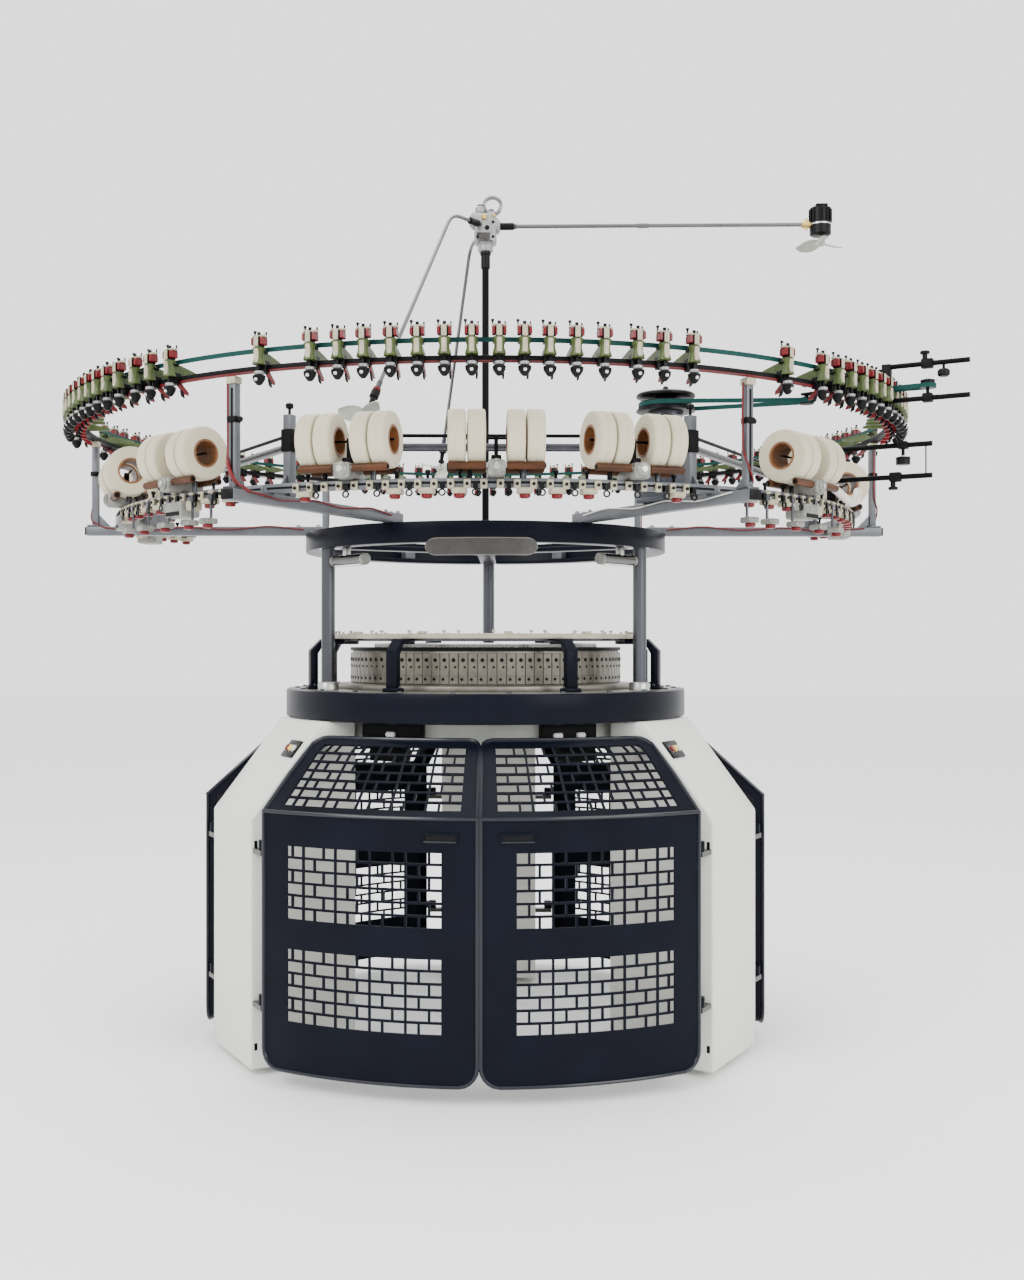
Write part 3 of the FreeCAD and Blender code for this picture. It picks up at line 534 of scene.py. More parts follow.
def arc_bar(material, circles, heights, angles, steps, bevel=0.0):
    """Bar that follows the machine's round, between two angles."""
    start()
    bpy.ops.mesh.primitive_grid_add(x_subdivisions=steps, y_subdivisions=1, size=1)
    piece = settle(material)
    edit_all()
    bpy.ops.mesh.extrude_region_move()
    bpy.ops.transform.translate(value=UP)
    bpy.ops.object.mode_set(mode="OBJECT")
    for vertex in piece.data.vertices:
        x, y, z = vertex.co
        vertex.co = spot(circles[0] + (circles[1] - circles[0]) * (0.5 - y),
                         angles[0] + (angles[1] - angles[0]) * (x + 0.5),
                         heights[0] + (heights[1] - heights[0]) * z)
    edit_all()
    end_edit()
    return rounded(piece, bevel, angle_limit=ROUND_LIMIT)


def smooth(piece):
    pick(piece)
    bpy.ops.object.shade_smooth_by_angle(angle=SMOOTH_ANGLE)


def finished(piece, body, nodes):
    """Shades a piece, seats it on its body and hides the solids that it stands for."""
    smooth(piece)
    piece.select_set(False)
    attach(piece, body)
    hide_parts(*nodes)
    return piece


def repainted(node, material):
    """Gives a solid that is shown as it is a finish."""
    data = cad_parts[node].data
    data.materials.clear()
    data.materials.append(finishes[material])


# ---- Legs, panels, buttons and feet ----
def slope_matrix(side, across=0.0, lift=0.0):
    """Place on the leg's sloped face: X across, Y up the slope, Z out of it."""
    up_the_slope = 0.7
    low = Vector((0, -LEG_OUTER, LEG_WALL_TOP))
    high = Vector((0, -LEG_SHOULDER, BED_BOTTOM))
    along = (high - low).normalized()
    normal = Vector((1, 0, 0)).cross(along)
    middle = low + (high - low) * up_the_slope + Vector((across, 0, 0)) + normal * lift
    axes = Matrix((Vector((1, 0, 0)), along, normal)).transposed().to_4x4()
    return turn_about_z(LEG_ANGLES[side]) @ Matrix.Translation(middle) @ axes


def button_panel():
    """Panel with a drilled hole and a bright rim for each of its three buttons."""
    plate = box("black_plastic", (-0.046, -0.031, -0.002), (0.046, 0.031, 0.006), 0.002)
    rims = []
    for k in (-1, 0, 1):
        x = k * BUTTON_STEP
        drilled(plate, rod("black_plastic", (x, 0, 0.001), (x, 0, 0.03), 0.0103, 24))
        rim = square_hoop("bright_steel", (0.0106, 0.0125), (0.0055, 0.0072), 24)
        rims.append(moved(rim, Matrix.Translation((x, 0, 0))))
    return joined([plate] + rims, "plate")


def make_legs(sizes):
    outline = [(LEG_INNER, FOOT_HEIGHT), (LEG_OUTER, FOOT_HEIGHT), (LEG_OUTER, LEG_WALL_TOP),
               (LEG_SHOULDER, BED_BOTTOM), (LEG_INNER, BED_BOTTOM)]
    cap_profile = [(0.0088, 0), (0.0100, 0.0008), (0.0100, 0.0068), (0.0092, 0.0084), (0.006, 0.009)]
    cap_seat = 0.0043  # height of a cap's foot over the slope
    latch_heights, latch_half, latch_sunk, latch_proud = (0.09, 0.70), 0.011, 0.0012, 0.0006
    for side, angle in LEG_ANGLES.items():
        parts = [radial_plate("cream_paint", outline, LEG_WIDTH, 0.009, 3)]
        for edge in (-LEG_WIDTH / 2, LEG_WIDTH / 2):
            inner = edge - math.copysign(latch_sunk, edge)
            across = (min(edge, inner) - latch_proud, max(edge, inner) + latch_proud)
            for z in latch_heights:
                parts.append(front_block("black_iron", across, (LEG_OUTER - 0.022, LEG_OUTER - 0.012),
                                         (z - latch_half, z + latch_half), 0.0005))
        leg = moved(joined(parts, "leg_cabinet_" + side), turn_about_z(angle))
        if side in PANEL_SHIFT:
            shift = PANEL_SHIFT[side]
            leg = joined([leg, moved(button_panel(), slope_matrix(side, shift))], "leg_cabinet_" + side)
            for k, colour in ((-1, "red"), (0, "yellow"), (1, "white")):
                button = "button_%s_%s" % (colour, side)
                cap = turned_solid(colour + "_plastic", cap_profile, 24)
                moved(cap, slope_matrix(side, shift + k * BUTTON_STEP, cap_seat))
                cap.name = "push_" + button
                finished(cap, button, [button])
        finished(leg, "frame", ["leg_" + side])
    pad = turned_solid("black_iron", [(0.030, 0), (0.034, 0.003), (0.034, 0.009), (0.020, 0.013),
                                      (0.0095, 0.014), (0.0095, FOOT_HEIGHT)], 32)
    places = [Matrix.Translation(spot(circle, angle)) for angle in LEG_ANGLES.values()
              for circle in (LEG_INNER + 0.06, LEG_OUTER - 0.06)]
    finished(joined(spread(pad, places), "foot_pads"), "frame", ["levelling_feet"])


# ---- Bed, bearing hub and knitting head ----
def make_bed(steps):
    bolt_count = 24
    bed = square_hoop("navy_paint", (BED_IN, BED_OUT), (BED_BOTTOM, BED_TOP), steps, 0.007)
    deck = square_hoop("deck_steel", (0.512, 0.655), (BED_TOP - 0.001, BED_TOP + 0.0012), steps)
    bolt = upright_rod("dark_steel", 0, 0.640, (BED_TOP, BED_TOP + 0.006), 0.008, 6)
    bolts = spread(bolt, [turn_about_z((k + 0.5) * 360 / bolt_count) for k in range(bolt_count)])
    finished(joined([bed, deck] + bolts, "bed"), "frame", ["bed_ring"])


def make_hub(steps):
    """Casting under the bed, with lubricators below it and black covers that hold small white nozzles."""
    hub_in, hub_out = 0.440, LEG_INNER - 0.0003
    low, high = BED_BOTTOM - 0.078, BED_BOTTOM - 0.0003
    lubricator_angle, cover_spans = 33, ((-38.5, -18), (18, 36))
    nozzles = ((-27.5, 0.042), (22.5, 0.040), (30.0, 0.040))  # angle, height over the hub's underside
    hub = square_hoop("pale_casting", (hub_in, hub_out), (low, high), steps, 0.003)
    block = front_block("black_iron", (-0.060, 0.060), (hub_out - 0.060, hub_out - 0.002),
                        (low - 0.046, low + 0.002), 0.004)
    drum = upright_rod("bright_steel", 0.03, hub_out - 0.03, (low - 0.046, low), 0.011)
    lubricators = spread(joined([block, drum], "lubricator"), [
        turn_about_z(third + sign * lubricator_angle) for third in THIRDS for sign in (-1, 1)])
    covers = []
    for third in THIRDS:
        for first, last in cover_spans:
            covers.append(arc_bar("black_iron", (hub_out - 0.002, hub_out + 0.040), (low + 0.006, high),
                                  (third + first, third + last), 8, 0.003))
        for angle, height in nozzles:
            nozzle = cross_rod("lamp_white", (-0.014, 0.014), hub_out + 0.044, low + height, 0.0085, 16, 0.002)
            covers.append(moved(nozzle, turn_about_z(third + angle)))
    finished(joined([hub] + lubricators + covers, "bearing_hub_casting"), "frame",
             ["bearing_hub"])


def make_cylinder(steps):
    low = BED_BOTTOM + 0.0003
    top = low + 0.243
    bore, barrel, gear, gear_height = 0.345, 0.3795, 0.470, 0.026
    cylinder = turned_hoop("bright_steel", [
        (bore, low), (gear, low), (gear, low + gear_height), (barrel, low + gear_height), (barrel, top - 0.003),
        (barrel - 0.003, top), (bore, top)], steps)
    needles = square_hoop("needle_steel", (barrel - 0.0005, barrel + 0.0013), (top - 0.050, top - 0.004), steps)
    finished(joined([cylinder, needles], "needle_cylinder_body"), "cylinder",
             ["needle_cylinder"])


def make_cam_drum(steps, count):
    """Carrier on the bed, its black seal, and a row of cam blocks with three screws and a line each."""
    bore, drum, foot = 0.388, 0.4535, 0.510
    seat, top = BED_TOP + 0.016, BED_TOP + 0.138
    carrier = turned_hoop("cam_steel", [
        (bore, BED_TOP + 0.0015), (foot, BED_TOP + 0.0015), (foot, seat), (drum, seat + 0.004),
        (drum, top - 0.011), (bore, top - 0.011)], steps, 0.001)
    seal = turned_hoop("black_iron", [
        (bore, top - 0.0112), (0.4612, top - 0.0112), (0.4612, top - 0.001), (0.4600, top), (bore, top)], steps)
    half = (2 * math.pi * drum / count - 0.0016) / 2
    block = [
        front_block("cam_block_steel", (-half, half), (0.452, 0.4605), (seat + 0.006, top - 0.018), 0.0012, 1),
        radial_rod("black_iron", 0, (0.460, 0.4618), top - 0.040, 0.0064, 8),
        radial_rod("black_iron", 0.005, (0.460, 0.4615), top - 0.062, 0.0042, 6),
        radial_rod("black_iron", -0.004, (0.460, 0.4615), seat + 0.022, 0.0052, 6),
        front_block("dark_steel", (-half, half), (0.460, 0.4610), (seat + 0.031, seat + 0.0325)),
    ]
    cams = spread(joined(block, "cam_block"), [turn_about_z(360 * k / count) for k in range(count)])
    finished(joined([carrier, seal] + cams, "cam_drum"), "frame", ["cam_ring"])


def make_guide_ring(steps):
    """Thin ring with eyelets and clamps round the cam drum, on eight bent brackets."""
    low, high, ring_in, ring_out = BED_TOP + 0.165, BED_TOP + 0.181, 0.504, 0.530
    eyelet_circle = 0.517
    hoop = turned_hoop("guide_cream", [
        (ring_in, low), (ring_out, low), (ring_out, high - 0.006), (ring_out - 0.004, high), (ring_in, high)],
        steps, 0.0012)
    eyelet = joined([
        upright_rod("bright_steel", 0, eyelet_circle, (high - 0.001, high + 0.008), 0.0028, 8),
        cross_rod("guide_cream", (-0.005, 0.005), eyelet_circle, high + 0.007, 0.0038, 8)], "eyelet")
    clamp = front_block("guide_cream", (-0.012, 0.012), (0.506, 0.528), (high - 0.001, high + 0.007), 0.001)
    nubs = spread(eyelet, [turn_about_z(a + s) for a in range(0, 360, 30) for s in (4, 17, 22)])
    nubs += spread(clamp, [turn_about_z(a) for a in range(9, 360, 30)])
    lip = square_hoop("dark_steel", (0.5035, 0.508), (low - 0.006, low + 0.001), steps)
    bar, bend, reach = 0.025, 0.038, 0.618  # bracket: its bar, its rounded corner and its outer side
    outline = [(reach, BED_TOP), (reach, low - bend), (reach - bend, low), (ring_in, low),
               (ring_in, low - bar * 0.7), (reach - bar - bend * 0.5, low - bar * 0.7),
               (reach - bar, low - bend - bar * 0.4), (reach - bar, BED_TOP)]
    bracket = [
        radial_plate("navy_paint", outline, 0.038, 0.003),
        front_block("navy_paint", (-0.027, 0.027), (reach - 0.034, reach + 0.008), (BED_TOP, BED_TOP + 0.014),
                    0.003),
    ]
    bracket += [upright_rod("dark_steel", x, reach - 0.013, (BED_TOP + 0.013, BED_TOP + 0.019), 0.0045, 6)
                for x in (-0.022, 0.022)]
    brackets = spread(joined(bracket, "bracket"), [
        turn_about_z(sign * a) for sign in (-1, 1) for a in (26.5, 67.5, 112.5, 157.5)])
    finished(joined([hoop, lip] + nubs + brackets, "guide_ring_with_eyelets"), "frame",
             ["yarn_guide_ring"])


def make_head(sizes):
    make_bed(sizes.ring_steps)
    make_hub(sizes.ring_steps)
    make_cylinder(sizes.ring_steps)
    make_cam_drum(sizes.ring_steps, sizes.cam_count)
    make_guide_ring(sizes.ring_steps)


# ---- Columns, crown and lamps ----
def make_columns():
    edge = 0.0015
    for side, angle in LEG_ANGLES.items():
        column = turned_solid("dark_steel", [
            (COLUMN_RADIUS - edge, BED_TOP), (COLUMN_RADIUS, BED_TOP + edge),
            (COLUMN_RADIUS, CROWN_BOTTOM - edge), (COLUMN_RADIUS - edge, CROWN_BOTTOM - 0.0002)], 40)
        column = moved(column, Matrix.Translation(spot(COLUMN_CIRCLE, angle)))
        finished(joined([column], "column_bar_" + side), "frame", ["column_" + side])
    nut = turned_hoop("bright_steel", [
        (0.0221, BED_TOP), (0.034, BED_TOP), (0.034, BED_TOP + 0.020), (0.030, BED_TOP + 0.026),
        (0.0221, BED_TOP + 0.026)], 36)
    nuts = spread(nut, [Matrix.Translation(spot(COLUMN_CIRCLE, a)) for a in LEG_ANGLES.values()])
    finished(joined(nuts, "column_collars"), "frame", ["column_nuts"])


def oval_sheet(material, grow, thickness):
    """Bare oval sheet that hangs from the front of the crown's rim."""
    low, high = CROWN_BOTTOM - 0.042 - grow, CROWN_BOTTOM + 0.012 + grow
    half_angle, taper, blunt = 16.0, 3.2, 0.06  # degrees to an end, degrees that an end is rounded over
    seat = CROWN_OUT + 0.0001
    sheet = arc_bar(material, (seat, seat + thickness), (low, high),
                    (-half_angle - grow * 90, half_angle + grow * 90), 40)
    middle = CROWN_BOTTOM - 0.015
    for vertex in sheet.data.vertices:
        angle = abs(math.degrees(math.atan2(vertex.co.x, -vertex.co.y)))
        ends = max(0.0, (angle - half_angle + taper) / taper)
        vertex.co.z = middle + (vertex.co.z - middle) * math.sqrt(max(blunt, 1 - ends ** 2))
    return sheet


def make_rim(steps):
    flange, rim_wall = CROWN_BOTTOM + 0.015, CROWN_OUT - 0.014
    parts = [turned_hoop("navy_paint", [
        (CROWN_IN, CROWN_BOTTOM), (CROWN_OUT, CROWN_BOTTOM), (CROWN_OUT, CROWN_TOP), (rim_wall, CROWN_TOP),
        (rim_wall, flange), (CROWN_IN, flange)], steps, 0.003)]
    for angle in LEG_ANGLES.values():
        spoke = front_block("navy_paint", (-0.030, 0.030), (0, 0.555), (CROWN_BOTTOM, flange), 0.003)
        rib = front_block("navy_paint", (-0.006, 0.006), (0.055, 0.550),
                          (CROWN_BOTTOM - 0.0001, flange + 0.012), 0.002)
        socket = aimed(turned_solid("bright_steel", [(0.036, 0), (0.036, 0.010), (0.030, 0.016)], 32),
                       (0, -0.574, CROWN_BOTTOM - 0.0002), UP)
        parts += [moved(piece, turn_about_z(angle)) for piece in (spoke, rib, socket)]
    parts.append(turned_solid("navy_paint", [
        (0.055, CROWN_BOTTOM - 0.0001), (0.062, CROWN_BOTTOM + 0.003), (0.062, CROWN_BOTTOM + 0.026),
        (0.056, CROWN_BOTTOM + 0.030)], 48))
    parts += [oval_sheet("deck_steel", 0.0, 0.0036), oval_sheet("plate_grey", -0.0030, 0.0048)]
    finished(joined(parts, "crown_spider"), "frame", ["crown_ring"])


def make_lamps():
    """Housings under the crown with a white strip, end caps and a stem, longer towards the front's middle."""
    axis, long_end, short_end = CROWN_BOTTOM - 0.042, 0.110, 0.075
    for side, sign, ends in (("left", -1, (-short_end, long_end)), ("right", 1, (-long_end, short_end))):
        near, far = ends
        lamp = [
            cross_rod("tube_steel", ends, LAMP_CIRCLE, axis, 0.018, 28, 0.003),
            front_block("lamp_white", (near + 0.016, far - 0.016), (LAMP_CIRCLE - 0.010, LAMP_CIRCLE + 0.010),
                        (axis - 0.0195, axis - 0.010), 0.003),
            cross_rod("cast_grey", (near - 0.0005, near + 0.014), LAMP_CIRCLE, axis, 0.0186, 28, 0.002),
            cross_rod("cast_grey", (far - 0.014, far + 0.0005), LAMP_CIRCLE, axis, 0.0186, 28, 0.002),
            front_block("bright_steel", (-0.010, 0.010), (LAMP_CIRCLE - 0.010, LAMP_CIRCLE + 0.010),
                        (axis + 0.012, CROWN_BOTTOM - 0.0002), 0.002),
        ]
        lamp = moved(joined(lamp, "work_lamp_" + side), turn_about_z(sign * LAMP_ANGLE))
        finished(lamp, "frame", ["lamp_" + side])


def make_crown(sizes):
    make_columns()
    make_rim(sizes.ring_steps)
    make_lamps()


# ---- Doors ----
def door_edge(radius):
    """Outer angle of the door where the arc has this radius: the hood keeps clear of the leg."""
    clear = LEG_WIDTH / 2 + 0.006 + DOOR_CENTRE * math.sin(math.radians(60))
    return min(DOOR_EDGE, math.degrees(math.acos(clear / radius)) - 30)


def out_of_door(away, lean):
    """Direction out of the door's face, or out of its hood where lean is one."""
    return away * (1 + lean * (HOOD_RISE / HOOD_LENGTH - 1)) + Vector((0, 0, lean * HOOD_RUN / HOOD_LENGTH))


def door_spot(across, along, depth=0.0):
    """Point on the right-hand door: across from 0 at the seam to 1, along its length from the bottom up."""
    if along <= KNEE:
        radius, height, lean = DOOR_ARC, DOOR_BOTTOM + along, 0.0
    else:
        share = (along - KNEE) / HOOD_LENGTH
        radius, height, lean = DOOR_ARC - HOOD_RUN * share, DOOR_FACE_TOP + HOOD_RISE * share, 1.0
    first, last = DOOR_SEAM, door_edge(radius)
    inset = 0.0
    for corner, distance in ((0.055, along), (0.030, DOOR_LENGTH - along)):
        if distance < corner:
            inset = corner - math.sqrt(max(0.0, corner ** 2 - (corner - distance) ** 2))
    inset = math.degrees(inset / radius)
    a = math.radians(first + inset + (last - first - 2 * inset) * across)
    out = radius - depth * (1 + lean * (HOOD_RISE / HOOD_LENGTH - 1))
    height -= depth * lean * HOOD_RUN / HOOD_LENGTH
    return Vector((out * math.sin(a), DOOR_CENTRE - out * math.cos(a), height))


def brick_spans(start_at, end_at, row, rib):
    """Openings of one row: each cell is a long and a short brick, which change places from row to row."""
    cell, short_share = 0.107, 0.36
    spans = []
    left = start_at
    while left < end_at - rib:
        cut = left + cell * (short_share if row % 2 else 1 - short_share)
        for a, b in ((left, cut), (cut, left + cell)):
            low, high = a + rib / 2, min(b, end_at) - rib / 2
            if high - low > rib / 2:
                spans.append((low, high))
        left += cell
    return spans


def grille_openings(rib):
    """Openings of the door's three grilles, as shares across and lengths along it."""
    pitch = 0.0365
    arc = math.radians(DOOR_EDGE - DOOR_SEAM) * DOOR_ARC
    openings = []
    for low, rows, margins in ((0.199, 6, (0.098, 0.085)), (0.499, 6, (0.098, 0.085)),
                               (DOOR_FACE_TOP + 0.026, 7, (0.045, 0.055))):
        for row in range(rows):
            bottom = low - DOOR_BOTTOM + pitch * row
            for left, right in brick_spans(margins[0], arc - margins[1], row, rib):
                openings.append((left / arc, right / arc, bottom + rib / 2, bottom + pitch - rib / 2))
    return openings


def door_skin(rib, thickness):
    """Skin of the right-hand door with its grilles, folded in at the edges, and the levels of its grid."""
    grilles = grille_openings(rib)
    across = sorted({0, 1} | {round(v, 5) for g in grilles for v in g[:2]})
    along = sorted({0, 0.003, 0.010, 0.022, 0.038, 0.055, round(KNEE, 5), DOOR_LENGTH - 0.030,
                    DOOR_LENGTH - 0.014, DOOR_LENGTH - 0.004, DOOR_LENGTH}
                   | {round(v, 5) for g in grilles for v in g[2:]})
    start()
    bpy.ops.mesh.primitive_grid_add(x_subdivisions=len(across) - 1, y_subdivisions=len(along) - 1, size=1)
    skin = settle("navy_paint")
    flat = []
    for vertex in skin.data.vertices:
        i = round((vertex.co.x + 0.5) * (len(across) - 1))
        j = round((vertex.co.y + 0.5) * (len(along) - 1))
        flat.append((across[i], along[j]))
    for face in skin.data.polygons:
        u = sum(flat[i][0] for i in face.vertices) / 4
        v = sum(flat[i][1] for i in face.vertices) / 4
        open_here = any(g[0] < u < g[1] and g[2] < v < g[3] for g in grilles)
        face.material_index = 1 if open_here else 0
    for vertex, (u, v) in zip(skin.data.vertices, flat):
        vertex.co = door_spot(u, v)
    # a second material marks the faces of the openings until they are deleted
    skin.data.materials.append(finishes["black_iron"])
    edit_all()
    bpy.ops.mesh.region_to_loop()
    bpy.ops.mesh.extrude_edges_move()
    bpy.ops.object.mode_set(mode="OBJECT")
    for vertex in skin.data.vertices:
        if vertex.select:
            here = vertex.co
            away = Vector((here.x, here.y - DOOR_CENTRE, 0)).normalized()
            lean = 1.0 if here.z > DOOR_FACE_TOP + 0.001 else 0.0
            vertex.co = here - out_of_door(away, lean) * FOLD_DEPTH
    bpy.ops.object.mode_set(mode="EDIT")
    bpy.ops.mesh.select_mode(type="FACE")
    bpy.ops.object.mode_set(mode="OBJECT")
    for face in skin.data.polygons:
        face.select = face.material_index == 1
    bpy.ops.object.mode_set(mode="EDIT")
    bpy.ops.mesh.delete(type="FACE")
    end_edit()
    skin.data.materials.pop(index=1)
    outward = sum(1 if f.normal.dot(Vector((0, -1, 0.2))) > 0 else -1 for f in skin.data.polygons)
    if outward < 0:
        skin.data.flip_normals()
    return modified(skin, "SOLIDIFY", thickness=thickness, offset=-1.0), along


def door_trim(along):
    """Bead round the door, ridge along its knee, and the grip by the seam; the bead, the ridge and the grip's
    lower lip are a navy made lighter as a painted highlight.
    """
    steps = 24
    level = [v for v in along if v < 0.06] + [0.3, 0.55, KNEE, KNEE + 0.15]
    level += [v for v in along if v > DOOR_LENGTH - 0.035]
    rim = [door_spot(0, v) for v in level]
    rim += [door_spot(k / steps, DOOR_LENGTH) for k in range(1, steps)]
    rim += [door_spot(1, v) for v in reversed(level)]
    rim += [door_spot(k / steps, 0) for k in range(steps - 1, 0, -1)]
    bead = tube("navy_highlight_paint", rim, 0.0065, 12, closed=True)
    knee = [door_spot(k / steps, KNEE, -0.001) for k in range(steps + 1)]
    ridge = bent_tube("navy_highlight_paint", knee, 0.0062)
    grip_height, grip_distance = 0.757, 0.110
    grip = joined([
        box("black_plastic", (-0.046, -0.0015, -0.011), (0.046, 0.008, 0.011), 0.001),
        box("navy_paint", (-0.052, -0.0045, 0.008), (0.052, 0.004, 0.015), 0.002),
        box("navy_paint", (-0.052, -0.0045, -0.015), (-0.044, 0.004, 0.010), 0.002),
        box("navy_paint", (0.044, -0.0045, -0.015), (0.052, 0.004, 0.010), 0.002),
        rod("navy_highlight_paint", (-0.046, -0.002, -0.011), (0.046, -0.002, -0.011), 0.0035, 12)], "grip")
    moved(grip, Matrix.Translation((0, DOOR_CENTRE, grip_height))
          @ turn_about_z(math.degrees(grip_distance / DOOR_ARC)) @ Matrix.Translation((0, -DOOR_ARC, 0)))
    return [bead, ridge, grip]


def door_lugs():
    """Lugs that turn on the hinge pins: a barrel and an arm at two heights of the outer edge."""
    a = math.radians(DOOR_EDGE)
    pin_circle, pin_gap = DOOR_ARC - 0.027, 0.026
    axis = Vector((pin_circle * math.sin(a), DOOR_CENTRE - pin_circle * math.cos(a), 0))
    axis += Vector((math.cos(a), math.sin(a), 0)) * pin_gap
    lugs = []
    for height in (0.230, 0.690):
        barrel = turned_hoop("navy_paint", [(0.0072, 0), (0.014, 0), (0.015, 0.001), (0.015, 0.029),
                                            (0.014, 0.030), (0.0072, 0.030)], 24)
        arm = box("navy_paint", (-0.034, -0.013, 0.002), (-0.010, 0.013, 0.028), 0.002)
        place = Matrix.Translation(axis + Vector((0, 0, height))) @ turn_about_z(DOOR_EDGE)
        lugs.append(moved(joined([barrel, arm], "lug"), place))
    return lugs


def make_doors(sizes):
    skin, along = door_skin(sizes.grille_rib, sizes.door_skin)
    door = joined([skin] + door_trim(along) + door_lugs(), "door")
    mirror = Matrix.Scale(-1, 4, (1, 0, 0))
    for name, angle in DOOR_PAIRS.items():
        for side, place in (("a", turn_about_z(angle) @ mirror), ("b", turn_about_z(angle))):
            leaf = copied(door, place)
            leaf.name = "door_leaf_%s_%s" % (name, side)
            body = "door_%s_%s" % (name, side)
            finished(leaf, body, [body])
    bpy.data.objects.remove(door)
    repainted("door_hinges", "plate_grey")


# ---- Arms, posts, guard rails and wires ----
def arm_post():
    """Post from an arm's end up to the feeder ring, with its foot, clamp, knob and seat."""
    return [
        front_block("grey_paint", (-0.011, 0.011), (1.322, 1.344),
                    (ARM_TOP - 0.001, RING_BOTTOM - 0.0003), 0.002),
        front_block("black_iron", (-0.0035, 0.0035), (1.3435, 1.3444), (ARM_TOP + 0.020, RING_BOTTOM - 0.030)),
        front_block("dark_steel", (-0.019, 0.019), (1.314, 1.358), (ARM_TOP, ARM_TOP + 0.006), 0.001),
        front_block("black_iron", (-0.0135, 0.0135), (1.3215, 1.3485), (1.876, 1.892), 0.002),
        cross_rod("black_plastic", (0.013, 0.026), 1.335, 1.884, 0.007, 16, 0.002),
        front_block("beige_plastic", (-0.015, 0.015), (1.320, 1.350), (1.976, RING_BOTTOM - 0.0003), 0.003),
    ]


def arm_wires(name, radius):
    """Sensor wires along both sides of an arm and up its post, where the front left arm has a whole bundle."""
    wires = []
    for side in (1, -1):
        x = side * 0.0225
        route = [(x, -0.62, ARM_TOP - 0.010), (x * 1.12, -0.74, ARM_TOP + 0.002), (x, -0.88, ARM_TOP - 0.012),
                 (x * 1.15, -1.02, ARM_TOP - 0.001), (x, -1.16, ARM_TOP - 0.016),
                 (x * 1.1, -1.300, ARM_TOP - 0.004)]
        white = side < 0 and "front" in name
        wires.append(bent_tube("white_plastic" if white else "red_wire", route,
                               radius * 0.8 if white else radius, 0.03, 8))
    climb = [(0.0205, -1.300, ARM_TOP - 0.004), (0.0120, -1.346, ARM_TOP + 0.016),
             (-0.0100, -1.350, ARM_TOP + 0.060), (-0.0165, -1.336, 1.80), (-0.0185, -1.334, 1.90),
             (-0.0170, -1.336, 1.982)]
    bundle = 0.0055
    wires.append(bent_tube("red_wire", climb, bundle if name == "front_left" else radius, 0.02, 10))
    return wires


def rail_stand():
    """Stand of the guard rails on a front or side arm, with its clamp, knob and gusset."""
    gusset = [(1.114, ARM_TOP - 0.001), (1.114, ARM_TOP + 0.060), (1.165, ARM_TOP - 0.001)]
    return [
        front_block("grey_paint", (-0.013, 0.013), (1.087, 1.113), (ARM_TOP - 0.001, ARM_TOP + 0.226), 0.002),
        front_block("black_iron", (-0.017, 0.017), (1.082, 1.118), (ARM_TOP + 0.124, ARM_TOP + 0.186), 0.003),
        upright_rod("black_plastic", 0, STAND_CIRCLE, (ARM_TOP + 0.225, ARM_TOP + 0.243), 0.004, 12),
        upright_rod("black_plastic", 0, STAND_CIRCLE, (ARM_TOP + 0.243, ARM_TOP + 0.258), 0.011, 16, 0.003),
        radial_plate("grey_paint", gusset, 0.006),
    ]


def make_arms(sizes):
    gusset = [(1.325, ARM_TOP - 0.001), (1.325, ARM_TOP + 0.045), (1.280, ARM_TOP - 0.001)]
    for name, angle in ARM_ANGLES.items():
        parts = [
            front_block("grey_paint", (-0.020, 0.020), (0.552, 1.362), (CROWN_TOP, ARM_TOP), 0.003),
            front_block("grey_paint", (-0.020, 0.020), (0.552, 0.5925),
                        (CROWN_BOTTOM + 0.0153, CROWN_TOP + 0.001), 0.002),
            front_block("black_plastic", (-0.0185, 0.0185), (1.3615, 1.366),
                        (CROWN_TOP + 0.0015, ARM_TOP - 0.0015), 0.001),
        ] + arm_post()
        for x in (-0.013, 0.013):
            parts.append(upright_rod("bright_steel", x, 0.572, (ARM_TOP - 0.001, ARM_TOP + 0.007), 0.007, 6))
            parts.append(upright_rod("bright_steel", x, 0.640, (ARM_TOP - 0.001, ARM_TOP + 0.006), 0.006, 6))
        parts.append(radial_plate("grey_paint", gusset, 0.005))
        if "rear" not in name:
            parts += rail_stand()
        parts += arm_wires(name, sizes.wire_radius)
        arm = moved(joined(parts, "support_arm_" + name), turn_about_z(around(angle)))
        finished(arm, "frame", ["arm_" + name])
    rails = []
    stand_half = 0.0165
    for first, last in ((-90, -30), (-30, 30), (30, 90)):
        for radius, rise, material in ((0.011, 0.138, "rail_steel"), (0.005, 0.170, "black_rod")):
            begin = spot(STAND_CIRCLE, around(first), ARM_TOP + rise)
            end = spot(STAND_CIRCLE, around(last), ARM_TOP + rise)
            gap = (end - begin).normalized() * stand_half
            rails.append(rod(material, begin + gap, end - gap, radius, 20))
    finished(joined(rails, "rail_tubes"), "frame", ["guard_rails"])


